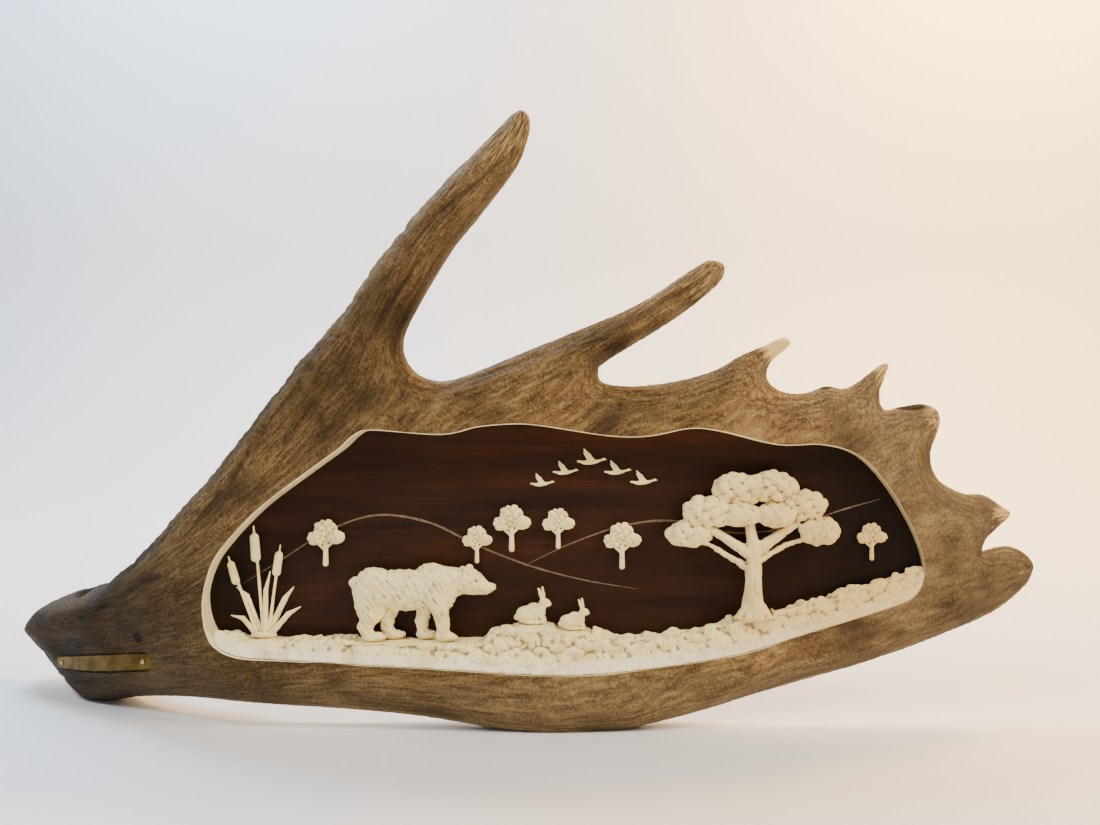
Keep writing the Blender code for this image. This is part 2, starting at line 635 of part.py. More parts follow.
def plate(group, brass, pin_finish):
    """The blank plate and the two round-headed pins on it."""
    shade(bent_plate("brass_plate", 0, -0.5 * PLATE_SIZE[1], 0.5 * PLATE_SIZE[1], group, brass))
    for index, side in enumerate((-1, 1), 1):
        bm = bmesh.new()
        bmesh.ops.create_uvsphere(bm, u_segments=10, v_segments=6, radius=PIN_RADIUS)
        bmesh.ops.scale(bm, vec=(1, 0.5 * PIN_HEIGHT / PIN_RADIUS, 1), verts=bm.verts)
        mesh = bpy.data.meshes.new("plate_pin")
        bm.to_mesh(mesh)
        bm.free()
        pin = add_object(f"plate_pin_{index}", mesh, group, pin_finish)
        along = side * 0.5 * PIN_SPACING
        out = plate_bow(along) - 0.5 * PLATE_SIZE[1] - GAP - 0.5 * PIN_HEIGHT
        tangent = Matrix.Rotation(along / PLATE_BEND, 4, "Z")
        pin.matrix_world = plate_place() @ Matrix.Translation((along, out, 0)) @ tangent
        shade(pin)


def build():
    clear_scene()
    parts = collection("moose_antler")
    cutters = collection("cutters", hidden=True)
    ivory = material("carved_bone", COLOURS["ivory"], 0.55)
    antler(parts, cutters, material("antler", COLOURS["antler"], 0.6))
    back_panel(parts, material("stained_wood", COLOURS["panel"], 0.45))
    pads = standing_figures(parts, ivory)
    ground_bank(parts, cutters, ivory, pads)
    panel_figures(parts, ivory)
    brass = material("brass", COLOURS["brass"], 0.35, metallic=1.0)
    plate(parts, brass, material("brass_pin", COLOURS["pin"], 0.25, metallic=1.0))
    for cutter in cutters.objects:
        cutter.hide_render = True
        cutter.display_type = "WIRE"


build()
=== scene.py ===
"""The looks of a moose antler with a carved scene in the window cut through its palm.

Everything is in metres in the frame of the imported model: +X runs from the sawn butt to the blunt end of the
palm, -Y is the front and Z is up. The antler, the ground bank and the carved figures are skins of numpy
fields. The plate and the hill lines are sections carried along a path, and the pins are turned on an axis.
"""

import itertools
import logging
import math
from dataclasses import dataclass, field
from enum import Enum
from typing import Any, Callable, Sequence

import bpy
import numpy as np
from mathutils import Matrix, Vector


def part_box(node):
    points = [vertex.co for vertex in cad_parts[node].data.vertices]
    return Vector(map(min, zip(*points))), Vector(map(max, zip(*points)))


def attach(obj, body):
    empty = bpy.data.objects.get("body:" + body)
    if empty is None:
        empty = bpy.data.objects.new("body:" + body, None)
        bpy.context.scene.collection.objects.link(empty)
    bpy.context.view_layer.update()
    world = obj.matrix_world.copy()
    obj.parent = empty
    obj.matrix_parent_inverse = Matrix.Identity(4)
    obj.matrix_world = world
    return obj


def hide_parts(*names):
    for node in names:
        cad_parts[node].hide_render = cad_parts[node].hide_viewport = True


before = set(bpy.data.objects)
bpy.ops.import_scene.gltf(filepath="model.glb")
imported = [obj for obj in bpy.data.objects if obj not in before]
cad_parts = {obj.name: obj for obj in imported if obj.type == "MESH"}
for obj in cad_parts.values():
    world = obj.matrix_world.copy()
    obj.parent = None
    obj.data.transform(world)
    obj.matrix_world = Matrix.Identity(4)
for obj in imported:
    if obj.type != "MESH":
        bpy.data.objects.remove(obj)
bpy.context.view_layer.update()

Array = np.ndarray
Object = bpy.types.Object
Material = bpy.types.Material
Pair = tuple[float, float]
Triple = tuple[float, float, float]

MM = 0.001
GAP = 0.3 * MM
BODY = "root"
LOG = logging.getLogger("moose_antler")


# ---- Noise ----


CELL_FACTORS = np.array([73856093, 19349663, 83492791])
SEED_FACTOR = 26544357
MIX_FACTOR = 1274126177
LOW_BITS = 0xFFFFFF


def lattice_numbers(cells: Array, seed: int) -> Array:
    """A repeatable number for each whole-number cell: coordinates times large odd numbers, bits mixed.

    Args:
        cells: Whole-number coordinates, (..., 3).
        seed: Picks another set of numbers.

    Returns:
        Numbers from 0 to 1, (...).
    """
    mixed = cells @ CELL_FACTORS + seed * SEED_FACTOR
    mixed = (mixed ^ (mixed >> 13)) * MIX_FACTOR
    mixed ^= mixed >> 16
    return (mixed & LOW_BITS) / LOW_BITS


def value_noise(points: Array, seed: int = 0) -> Array:
    """Smooth noise: the eight lattice numbers round each point, mixed by weights that ease in and out.

    Args:
        points: Where to read it, in lattice steps, (..., 3).
        seed: Picks another noise.

    Returns:
        Values from -1 to 1, (...).
    """
    base = np.floor(points).astype(np.int64)
    part = points - base
    eased = part**3 * (part * (part * 6 - 15) + 10)
    total = np.zeros(points.shape[:-1])
    for corner in itertools.product((0, 1), repeat=3):
        weight = np.prod(np.where(np.array(corner, bool), eased, 1 - eased), axis=-1)
        total += weight * lattice_numbers(base + np.array(corner), seed)
    return 2 * total - 1


def layered_noise(points: Array, layers: int, seed: int = 0) -> Array:
    """The sum of a few noises, each at twice the scale and half the height of the one before."""
    return sum(0.5**level * value_noise(points * 2**level, seed + level) for level in range(layers))


def lump_noise(points: Array, seed: int = 0) -> Array:
    """Round lumps: one minus the squared distance to the nearest of the points strewn one a lattice cell.

    Args:
        points: Where to read it, in lattice steps, (n, 3).
        seed: Picks another strewing.

    Returns:
        One at the top of a lump, about zero between lumps, (n,).
    """
    base = np.floor(points).astype(np.int64)
    nearest = np.full(len(points), 4.0)
    for step in itertools.product((-1, 0, 1), repeat=3):
        cell = base + np.array(step)
        strewn = np.stack([lattice_numbers(cell, seed + axis) for axis in range(3)], axis=-1)
        nearest = np.minimum(nearest, ((cell + strewn - points) ** 2).sum(axis=-1))
    return 1 - nearest.clip(max=1)


def eased_step(values: Array, low: float, high: float) -> Array:
    """Zero below low, one above high, and a cubic ease between: 3t^2 - 2t^3."""
    t = np.clip((values - low) / (high - low), 0, 1)
    return t * t * (3 - 2 * t)


def rise(values: Array, low_mm: float, high_mm: float) -> Array:
    """The same ease from zero to one, between two lengths in millimetres."""
    return eased_step(values, low_mm * MM, high_mm * MM)


def fall(values: Array, low_mm: float, high_mm: float) -> Array:
    """The same ease from one down to zero, between two lengths in millimetres."""
    return 1 - rise(values, low_mm, high_mm)


def in_cells(points: Array, *sizes_mm: float) -> Array:
    """Points counted in cells of one size, or of a size for each axis, in millimetres."""
    return points / (np.array(sizes_mm) * MM)


# ---- Outlines ----


def smooth_curve(points_mm: Sequence[Pair], steps: int, closed: bool) -> Array:
    """A Catmull-Rom curve: between two points, the cubic whose slope at each is half the step past it.

    Args:
        points_mm: The curve's own points, in millimetres.
        steps: Points to make for each span.
        closed: True joins the last point to the first.

    Returns:
        The curve's points in metres, (n, 2).
    """
    points = np.array(points_mm, float) * MM
    if closed:
        before, after, second = (np.roll(points, shift, axis=0) for shift in (1, -1, -2))
    else:
        padded = np.concatenate([2 * points[:1] - points[1:2], points, 2 * points[-1:] - points[-2:-1]])
        before, points, after, second = padded[:-3], padded[1:-2], padded[2:-1], padded[3:]
    t = (np.arange(steps) / steps)[None, :, None]
    p0, p1, p2, p3 = (side[:, None] for side in (before, points, after, second))
    square, cube = 2 * p0 - 5 * p1 + 4 * p2 - p3, 3 * p1 - p0 - 3 * p2 + p3
    curve = 0.5 * (2 * p1 + (p2 - p0) * t + square * t**2 + cube * t**3)
    curve = curve.reshape(-1, 2)
    return curve if closed else np.concatenate([curve, after[-1:]])


def grown_loop(loop: Array, distance: float | Array) -> Array:
    """A clockwise loop moved outwards along its normals, by one distance or by one for each point."""
    along = np.roll(loop, -1, axis=0) - np.roll(loop, 1, axis=0)
    along /= np.linalg.norm(along, axis=1, keepdims=True)
    return loop + np.reshape(distance, (-1, 1)) * np.stack([-along[:, 1], along[:, 0]], axis=1)


def squared_distance(offset: Array, side: Array) -> Array:
    """The squared distance to one side, from the offsets from its first corner: t is held from 0 to 1."""
    t = np.clip(offset @ side / (side @ side), 0, 1)
    return ((offset - t[..., None] * side) ** 2).sum(axis=-1)


def path_distance(points: Array, path: Array) -> Array:
    """The distance of points (x, z) to the nearest side of an open path."""
    squared = [squared_distance(points - start, end - start) for start, end in zip(path[:-1], path[1:])]
    return np.sqrt(np.min(squared, axis=0))


def signed_distance(points: Array, loop: Array) -> Array:
    """Distance to the nearest side of a closed loop, with its sign from how many sides a ray crosses.

    Args:
        points: Places (x, z), (..., 2).
        loop: The loop's corners, (m, 2).

    Returns:
        The distance, positive inside the loop, (...).
    """
    nearest = np.full(points.shape[:-1], np.inf)
    inside = np.zeros(points.shape[:-1], bool)
    for corner, side in zip(loop, np.roll(loop, -1, axis=0) - loop):
        offset = points - corner
        nearest = np.minimum(nearest, squared_distance(offset, side))
        crosses = (offset[..., 1] < 0) != (offset[..., 1] < side[1])
        turn = offset[..., 0] * side[1] - offset[..., 1] * side[0]
        inside ^= crosses & ((turn < 0) == (side[1] > 0))
    return np.where(inside, 1, -1) * np.sqrt(nearest)


def over_squares(values: Array, reach: int, combine: np.ufunc) -> Array:
    """Combines each value's square neighbourhood, one axis after the other, its edges repeated.

    Args:
        values: A grid of values, (nx, nz).
        reach: How many steps the square reaches each way.
        combine: numpy's add or maximum.

    Returns:
        The combined values, (nx, nz).
    """
    for axis in (0, 1):
        ends = [(reach, reach) if axis == each else (0, 0) for each in (0, 1)]
        padded = np.pad(values, ends, mode="edge")
        steps = np.arange(values.shape[axis])
        values = combine.reduce([np.take(padded, steps + k, axis=axis) for k in range(2 * reach + 1)])
    return values


def grid_of(axes: Sequence[Array]) -> Array:
    """The places of a grid with these coordinates along its axes, the last dimension one for each axis."""
    return np.stack(np.meshgrid(*axes, indexing="ij"), axis=-1)


def turned(first: Array, second: Array, angle: float) -> tuple[Array, Array]:
    """Two coordinates turned by an angle: (first cos - second sin, first sin + second cos)."""
    cos, sin = math.cos(angle), math.sin(angle)
    return first * cos - second * sin, first * sin + second * cos


# ---- Skins ----


@dataclass
class Skin:
    """The points and four-cornered faces of one closed surface."""

    points: Array
    faces: Array

    @staticmethod
    def of_field(values: Array, low: Array, pitch: float) -> "Skin":
        """The skin where a field is zero, by surface nets.

        Each grid cell that the surface crosses gets one point, the mean of the places where the surface
        crosses the cell's edges. Each grid edge that it crosses gets one face, which joins the points of
        the four cells round that edge and faces from negative to positive.

        Args:
            values: The field at the grid's corners, negative inside, (nx, ny, nz).
            low: The grid's first corner.
            pitch: The grid's step.

        Returns:
            The skin.
        """
        inside = values < 0
        corners = list(itertools.product((0, 1), repeat=3))
        spans = [size - 1 for size in values.shape]
        windows = (tuple(slice(c, c + n) for c, n in zip(corner, spans)) for corner in corners)
        count = sum(inside[window].astype(np.int8) for window in windows)
        active = (count > 0) & (count < 8)
        number = np.full(active.shape, -1)
        number[active] = np.arange(active.sum())
        cells = np.argwhere(active)
        total = np.zeros((len(cells), 3))
        hits = np.zeros(len(cells))
        for corner, axis in itertools.product(corners, range(3)):
            if corner[axis]:
                continue
            step = np.eye(3, dtype=int)[axis]
            first = values[tuple((cells + corner).T)]
            second = values[tuple((cells + corner + step).T)]
            crossed = (first < 0) != (second < 0)
            t = np.where(crossed, first / np.where(crossed, first - second, 1), 0)
            total += np.where(crossed[:, None], np.array(corner) + t[:, None] * step, 0)
            hits += crossed
        faces = []
        for axis in range(3):
            ahead, beside = (axis + 1) % 3, (axis + 2) % 3
            near = [slice(1, -1)] * 3
            far = [slice(1, -1)] * 3
            near[axis], far[axis] = slice(0, -1), slice(1, None)
            crossed = inside[tuple(near)] != inside[tuple(far)]
            start = np.argwhere(crossed)
            start[:, [ahead, beside]] += 1
            step_a, step_b = np.eye(3, dtype=int)[ahead], np.eye(3, dtype=int)[beside]
            ring = [start - step_a - step_b, start - step_b, start, start - step_a]
            quads = np.stack([number[tuple(cell.T)] for cell in ring], axis=1)
            outward = inside[tuple(start.T)]
            quads[~outward] = quads[~outward][:, ::-1]
            faces.append(quads)
        return Skin(low + pitch * (cells + total / hits[:, None]), np.concatenate(faces))

    def normals(self) -> Array:
        """The unit normal of each point: the sum of its faces' normals, each the cross of two diagonals."""
        a, b, c, d = (self.points[self.faces[:, k]] for k in range(4))
        across = np.cross(c - a, d - b)
        total = np.zeros_like(self.points)
        for k in range(4):
            for axis in range(3):
                total[:, axis] += np.bincount(self.faces[:, k], across[:, axis], len(self.points))
        return total / np.linalg.norm(total, axis=1, keepdims=True).clip(1e-12)

    def smoothed(self, rounds: int, push: float = 0.52) -> "Skin":
        """Pulls each point halfway to the mean of its neighbours, then pushes it back a little further.

        Args:
            rounds: How many times.
            push: How far it is pushed back. The skin keeps its volume at 0.52 and shrinks at less.

        Returns:
            The smoothed skin.
        """
        start = self.faces.ravel()
        end = np.roll(self.faces, -1, axis=1).ravel()
        share = 1 / np.bincount(start, minlength=len(self.points)).clip(1)
        points = self.points.copy()
        for weight in (0.5, -push) * rounds:
            sums = [np.bincount(start, points[end, axis], len(points)) for axis in range(3)]
            points += weight * (np.stack(sums, axis=1) * share[:, None] - points)
        return Skin(points, self.faces)

    def sunk(self, rounds: int) -> Array:
        """How far each point lies under the same skin smoothed without a push: positive in hollows."""
        return ((self.smoothed(rounds, push=0.0).points - self.points) * self.normals()).sum(axis=1)

    def raised(self, heights: Array) -> "Skin":
        """Moves each point along its normal by its height."""
        return Skin(self.points + heights[:, None] * self.normals(), self.faces)

    def as_object(self, name: str) -> Object:
        """Puts the skin into a new smooth-shaded object of this name, at the origin."""
        return mesh_object(name, self.points, self.faces)


def mesh_object(name: str, points: Array, faces: Array | list) -> Object:
    """A new object at the origin with these points and faces, smooth, linked to the scene.

    A closed shape whose volume, a sixth of the sum of its triangles' determinants, comes out negative is
    inside out, and is turned over.

    Args:
        name: The object's name.
        points: Its points in the frame, in metres, (n, 3).
        faces: Each face's corners, all one way round.

    Returns:
        The object.
    """
    mesh = bpy.data.meshes.new(name)
    mesh.from_pydata(np.asarray(points).tolist(), [], faces.tolist() if isinstance(faces, Array) else faces)
    mesh.update()
    mesh.calc_loop_triangles()
    corners = np.empty(len(mesh.loop_triangles) * 3, np.int32)
    mesh.loop_triangles.foreach_get("vertices", corners)
    if np.linalg.det(np.asarray(points)[corners.reshape(-1, 3)]).sum() < 0:
        mesh.flip_normals()
    mesh.shade_smooth()
    obj = bpy.data.objects.new(name, mesh)
    bpy.context.scene.collection.objects.link(obj)
    return obj


def grid_faces(rows: int, columns: int, wraps: bool) -> Array:
    """The four-cornered faces of a grid of points stored row after row.

    Args:
        rows: Rows of points.
        columns: Points in a row.
        wraps: True joins each row's last point to its first.

    Returns:
        The faces, (n, 4).
    """
    across = columns if wraps else columns - 1
    row, column = grid_of([np.arange(rows - 1), np.arange(across)]).reshape(-1, 2).T
    beside = (column + 1) % columns
    corners = [(row, column), (row, beside), (row + 1, beside), (row + 1, column)]
    return np.stack([above * columns + along for above, along in corners], axis=-1)


def tube_faces(rings: int, count: int) -> list[list[int]]:
    """The faces of a closed tube of rings stored one after the other: its sides and both its ends."""
    last = (rings - 1) * count
    sides = grid_faces(rings, count, wraps=True).tolist()
    return sides + [list(range(count))[::-1], list(range(last, last + count))]


def prism(name: str, rings: Sequence[tuple[Array, Array | float]]) -> Object:
    """A loop carried along Y from ring to ring, with an end face on the first and the last.

    Args:
        name: The object's name.
        rings: Each ring's outline (x, z), (n, 2), and its depth y, one number or one for each point.

    Returns:
        The closed prism.
    """
    points = np.concatenate([np.insert(loop, 1, y, axis=1) for loop, y in rings])
    return mesh_object(name, points, tube_faces(len(rings), len(rings[0][0])))


def cut_away(obj: Object, cutter: Object) -> None:
    """Takes the cutter's shape out of the object for good, and removes the cutter.

    Args:
        obj: The object that is cut.
        cutter: A closed shape with the same material slots. A cut face keeps the slot of the cutter's face.
    """
    step = obj.modifiers.new("cut", "BOOLEAN")
    step.operation = "DIFFERENCE"
    step.solver = "EXACT"
    step.material_mode = "INDEX"
    step.object = cutter
    bpy.context.view_layer.update()
    cut = bpy.data.meshes.new_from_object(obj.evaluated_get(bpy.context.evaluated_depsgraph_get()))
    obj.modifiers.clear()
    obj.data = cut
    bpy.data.objects.remove(cutter)


def points_of(obj: Object) -> Array:
    """The points of an object's mesh, (n, 3)."""
    points = np.empty(len(obj.data.vertices) * 3)
    obj.data.vertices.foreach_get("co", points)
    return points.reshape(-1, 3)


def set_attribute(obj: Object, name: str, values: Array) -> None:
    """Stores one number, or one vector, for each point of an object's mesh under a name.

    Args:
        obj: The object.
        name: The attribute's name, which a material reads.
        values: The values, (n,) or (n, 3).
    """
    kind, key = ("FLOAT", "value") if values.ndim == 1 else ("FLOAT_VECTOR", "vector")
    attribute = obj.data.attributes.new(name, kind, "POINT")
    attribute.data.foreach_set(key, values.astype(np.float32).ravel())


# ---- Finishes ----


def linear(hex_colour: str) -> tuple[float, float, float, float]:
    """The linear colour of an sRGB hex value: c/12.92 in the darks, else ((c + 0.055)/1.055)^2.4."""
    channels = [int(hex_colour[i : i + 2], 16) / 255 for i in (0, 2, 4)]
    r, g, b = (c / 12.92 if c <= 0.04045 else ((c + 0.055) / 1.055) ** 2.4 for c in channels)
    return (r, g, b, 1.0)


class Metal(Enum):
    """The two states that the brass is in."""

    AGED = "brass_aged"
    RUBBED = "brass_rubbed"


Value = Any
Coat = tuple[Value, float, float, float, str]
Gloss = float | tuple[Value, float, float]
NOISE_LOW, NOISE_HIGH, NOISE_ROUGHNESS = 0.3, 0.7, 0.58


@dataclass
class Recipe:
    """A material under construction: its shader, the place on the object in metres, and what adds nodes."""

    name: str
    material: Material = field(init=False)

    def __post_init__(self) -> None:
        """Makes the material with its shader and the place that its noises read."""
        self.material = bpy.data.materials.new(self.name)
        self.material.use_nodes = True
        self.shader = self.material.node_tree.nodes["Principled BSDF"]
        self.place = self.node("TexCoord", {}, "Object")

    def node(self, kind: str, links: dict[int | str, Value], out: int | str = 0, **settings: Any) -> Value:
        """Adds a node with its settings and links.

        Args:
            kind: Its type's name after "ShaderNode".
            links: Each input's name or number, with the number, colour or output that feeds it.
            out: The output to return, by name or number.
            settings: Its own properties.

        Returns:
            The output.
        """
        made = self.material.node_tree.nodes.new("ShaderNode" + kind)
        for key, value in settings.items():
            setattr(made, key, value)
        for key, value in links.items():
            self.feed(made.inputs[key], value)
        return made.outputs[out]

    def feed(self, socket: bpy.types.NodeSocket, value: Value) -> None:
        """Links an output to an input, or sets the input's own number, or its colour from a hex value."""
        if isinstance(value, bpy.types.NodeSocket):
            self.material.node_tree.links.new(value, socket)
        else:
            socket.default_value = linear(value) if isinstance(value, str) else value

    def grained(self, vector: Value, sizes_mm: Triple, detail: float = 3.0) -> Value:
        """Noise whose cells have these real sizes along the vector's axes.

        Args:
            vector: Where to read it, in metres.
            sizes_mm: A cell's length along each axis, in millimetres.
            detail: How many finer noises are added, each half the size of the one before.

        Returns:
            The noise, about 0.5 with most values from 0.3 to 0.7.
        """
        scale = tuple(1 / (size * MM) for size in sizes_mm)
        place = self.node("Mapping", {"Vector": vector, "Scale": scale})
        octaves = {"Detail": detail, "Roughness": NOISE_ROUGHNESS}
        return self.node("TexNoise", {"Vector": place, "Scale": 1.0} | octaves)

    def glazed(self, colour: Value, *coats: Coat) -> Value:
        """Lays thin coats over a colour, one after the other.

        Args:
            colour: The colour below, as hex or output.
            coats: For each coat the value that steers it, the value where it starts, the value where it is
                full, how much it covers there, and its colour.

        Returns:
            The colour on top.
        """
        for value, start, full, cover, tint in coats:
            links = {"Value": value, "From Min": start, "From Max": full, "To Max": cover}
            share = self.node("MapRange", links, interpolation_type="SMOOTHSTEP")
            colour = self.node("Mix", {0: share, 6: colour, 7: tint}, 2, data_type="RGBA")
        return colour

    def finish(self, colour: Value, gloss: Gloss, height: Value, depth: float, **own: float) -> Material:
        """Feeds the shader and returns the material.

        Args:
            colour: Output or hex value.
            gloss: The roughness: a number, or a noise with the roughness in its lows and in its highs.
            height: The relief, from zero to one.
            depth: The relief's real depth in metres.
            own: Other inputs of the shader by their name with _ for a space, set as plain numbers.

        Returns:
            The material.
        """
        if isinstance(gloss, tuple):
            noise, low, high = gloss
            links = {"Value": noise, "From Min": NOISE_LOW, "From Max": NOISE_HIGH}
            gloss = self.node("MapRange", links | {"To Min": low, "To Max": high})
        bump = self.node("Bump", {"Height": height, "Distance": depth, "Strength": 1.0})
        for name, value in {"Base Color": colour, "Roughness": gloss, "Normal": bump}.items():
            self.feed(self.shader.inputs[name], value)
        for key, value in own.items():
            self.shader.inputs[key.replace("_", " ")].default_value = value
        return self.material


@dataclass(frozen=True)
class WeatheredAntler:
    """Shed antler, dried and waxed: brown stain held in fine grooves, pale bone where ridges are rubbed."""

    middle: str = "745930"
    dark: str = "4b3619"
    light: str = "9a7f4a"
    red: str = "664523"
    bleached_and_shade: str = "726145"
    groove: str = "30210f"
    fibre: str = "b79c66"
    weathered_and_shade: str = "6c6248"
    rubbed: str = "dcb872"
    core: str = "1d0d08"

    def material(self) -> Material:
        """Builds the material.

        Fibres and cords are noise drawn out along the growth lines that the mesh stores as "grain".
        Freckles and patches are plain noise. The mesh's bleaching mask greys it and its ageing mask darkens
        it, both partly real and partly painted shade; "wear" bares it, "core" darkens open bone, and "relief"
        browns grooves and rubs ridges.
        """
        r = Recipe("antler_weathered_waxed")
        grain = r.node("Attribute", {}, "Vector", attribute_name="grain")
        names = ("bleach_and_shade", "age", "wear", "core", "relief")
        masks = [r.node("Attribute", {}, "Fac", attribute_name=name) for name in names]
        bleach_and_shade, age, wear, core, relief = masks
        fibres = r.grained(grain, (18, 1.0, 1.0), 3.0)
        cords = r.grained(grain, (70, 4.4, 4.4), 4.0)
        freckles = r.grained(r.place, (1.7, 1.7, 1.7), 3.0)
        patches = r.grained(r.place, (34, 34, 34), 3.0)
        bared = r.node("Math", {0: wear, 1: fibres}, operation="ADD")
        colour = r.glazed(
            self.middle,
            (patches, 0.5, 0.68, 0.5, self.red), (patches, 0.47, 0.3, 0.45, self.light),
            # Grey coat of the bleaching mask: real bleaching, and painted cool shade on undersides and turned
            # edges.
            (bleach_and_shade, 0.0, 1.0, 0.7, self.bleached_and_shade),
            (cords, 0.49, 0.27, 0.38, self.dark), (cords, 0.53, 0.72, 0.35, self.light),
            (fibres, 0.52, 0.32, 0.6, self.groove), (fibres, 0.5, 0.72, 0.45, self.fibre),
            (freckles, 0.52, 0.26, 0.55, self.groove), (freckles, 0.5, 0.74, 0.45, self.fibre),
            (relief, -0.1, -1.8, 0.75, self.groove), (relief, 0.3, 1.6, 0.3, self.fibre),
            (bleach_and_shade, 0.2, 1.0, 0.3, self.bleached_and_shade),
        )
        # Darkening by the ageing mask: real ageing, and painted shade on edges turned from the light.
        soaked = {0: age, 6: colour, 7: self.weathered_and_shade}
        colour = r.node("Mix", soaked, 2, data_type="RGBA", blend_type="MULTIPLY")
        colour = r.glazed(colour, (bared, 0.75, 1.3, 1.0, self.rubbed), (core, 0.1, 0.8, 0.95, self.core))
        height = r.node("Mix", {0: 0.35, 2: fibres, 3: freckles}, 0)
        return r.finish(colour, (fibres, 0.75, 0.55), height, 1.3 * MM, Specular_IOR_Level=0.16)


@dataclass(frozen=True)
class SawnAntler:
    """Antler bone cut with a saw and sanded: cream, with fine saw lines, browner where wax soaked in."""

    pale: str = "f7e8b4"
    soaked: str = "cfae74"
    right_end_shade: str = "857150"

    def material(self) -> Material:
        """Builds the material: creams mixed by noise, and saw lines by noise drawn out in depth.

        The cut is darkened towards the window's right end: painted shade on the window's right-hand cut wall.
        """
        r = Recipe("antler_bone_sawn")
        along = r.node("SeparateXYZ", {0: r.place}, "X")
        stain = r.grained(r.place, (14, 14, 14), 4.0)
        lines = r.grained(r.place, (0.9, 30, 0.9), 2.0)
        colour = r.glazed(
            self.pale,
            (stain, 0.45, 0.75, 0.6, self.soaked), (lines, 0.5, 0.34, 0.3, self.soaked),
            # Painted shade on the cut wall towards the window's right end.
            (along, 0.18, 0.3, 0.75, self.right_end_shade),
        )
        return r.finish(colour, 0.5, lines, 0.25 * MM, Specular_IOR_Level=0.45)


@dataclass(frozen=True)
class CarvedBone:
    """Bone carved with small burrs: ivory, yellow where waxed, brown in strokes, in hollows dirt and painted
    shade.
    """

    name: str
    strokes_mm: Triple
    stroke_cover: float
    white: str = "fff5cc"
    waxed: str = "ffea96"
    ivory: str = "dcc684"
    hollow: str = "80663a"
    stroke: str = "b89e62"
    warm_light_tint: str = "d0aa5c"

    def material(self) -> Material:
        """Builds the material: ivory by noise and strokes by noise drawn out.

        The mesh stores how deep each point is in a hollow, where the bone is browned as dirt and as painted
        shade, and how far it is waxed. Towards the window's right end the bone is a warmer yellow: painted
        warm light.
        """
        r = Recipe(self.name)
        along = r.node("SeparateXYZ", {0: r.place}, "X")
        hollow, waxed = (r.node("Attribute", {}, "Fac", attribute_name=name) for name in ("hollow", "waxed"))
        clouds = r.grained(r.place, (11, 11, 11), 4.0)
        strokes = r.grained(r.place, self.strokes_mm, 3.0)
        colour = r.glazed(
            self.white,
            (waxed, 0.0, 1.0, 0.7, self.waxed), (clouds, 0.46, 0.7, 0.75, self.ivory),
            # Warmer yellow toward the window's right end: painted warm light.
            (along, 0.08, 0.27, 0.7, self.warm_light_tint),
            # Brown in hollows: partly dirt, partly painted shade.
            (strokes, 0.52, 0.3, self.stroke_cover, self.stroke), (hollow, 0.05, 1.2, 0.8, self.hollow),
        )
        return r.finish(colour, 0.5, strokes, 0.3 * MM, Specular_IOR_Level=0.35)


@dataclass(frozen=True)
class StainedWalnut:
    """Walnut board, planed, stained dark red-brown and oiled: long grain lines and a soft sheen."""

    middle: str = "2e1b0f"
    dark: str = "1a0e09"
    red: str = "4a2512"
    edge: str = "0b0604"

    def material(self) -> Material:
        """Builds the material: noise drawn out along X, twelve times for the figure and forty for the pores.

        Towards both ends of the window it darkens to near black: painted shadow that the window's side walls
        cast on the panel.
        """
        r = Recipe("walnut_stained_oiled")
        along = r.node("SeparateXYZ", {0: r.place}, "X")
        figure = r.grained(r.place, (170, 14, 14), 4.0)
        pores = r.grained(r.place, (32, 0.8, 0.8), 3.0)
        colour = r.glazed(
            self.middle,
            (figure, 0.5, 0.32, 0.6, self.dark), (figure, 0.52, 0.75, 0.6, self.red),
            (pores, 0.47, 0.34, 0.35, self.dark),
            # Painted shadow of the window's side walls at both ends of the panel.
            (along, -0.1, -0.22, 0.7, self.edge), (along, 0.15, 0.27, 0.85, self.edge),
        )
        return r.finish(colour, (pores, 0.6, 0.42), pores, 0.1 * MM, Specular_IOR_Level=0.09)


@dataclass(frozen=True)
class Brass:
    """Rolled brass: sheet that has dulled to yellow-brown, or the same brass rubbed on a pin's head."""

    state: Metal
    bright: str
    dull: str
    roughness: float

    def material(self) -> Material:
        """Builds the material: two brasses mixed by noise, and scratches by noise drawn out along X."""
        r = Recipe(self.state.value)
        tarnish = r.grained(r.place, (10, 10, 10), 4.0)
        scratches = r.grained(r.place, (12, 0.4, 0.4), 2.0)
        colour = r.glazed(
            self.bright, (tarnish, 0.38, 0.68, 0.7, self.dull), (scratches, 0.45, 0.3, 0.3, self.dull),
        )
        gloss = (tarnish, self.roughness - 0.08, self.roughness + 0.14)
        return r.finish(colour, gloss, scratches, 0.05 * MM, Metallic=1.0)


@dataclass(frozen=True)
class ScratchedLine:
    """A line scratched through the walnut's stain and rubbed with bone dust: dull tan, broken up."""

    tan: str = "6f5a40"
    dark: str = "43301f"

    def material(self) -> Material:
        """Builds the material: tan with darker gaps by noise."""
        r = Recipe("walnut_line_scratched")
        gaps = r.grained(r.place, (1.6, 1.6, 1.6))
        colour = r.glazed(self.tan, (gaps, 0.5, 0.38, 0.8, self.dark))
        return r.finish(colour, 0.8, gaps, 0.1 * MM)


@dataclass(frozen=True)
class PaleFloor:
    """Plain pale painted board, matt, with a trace of unevenness in its gloss."""

    colour: str = "ebe8e1"

    def material(self) -> Material:
        """Builds the material."""
        r = Recipe("floor_board_painted")
        unevenness = r.grained(r.place, (50, 50, 50))
        return r.finish(self.colour, (unevenness, 0.55, 0.65), unevenness, 0.02 * MM)


def dress(obj: Object, *materials: Material) -> Object:
    """Gives an object these materials in order, in place of any that it has."""
    obj.data.materials.clear()
    for each in materials:
        obj.data.materials.append(each)
    return obj


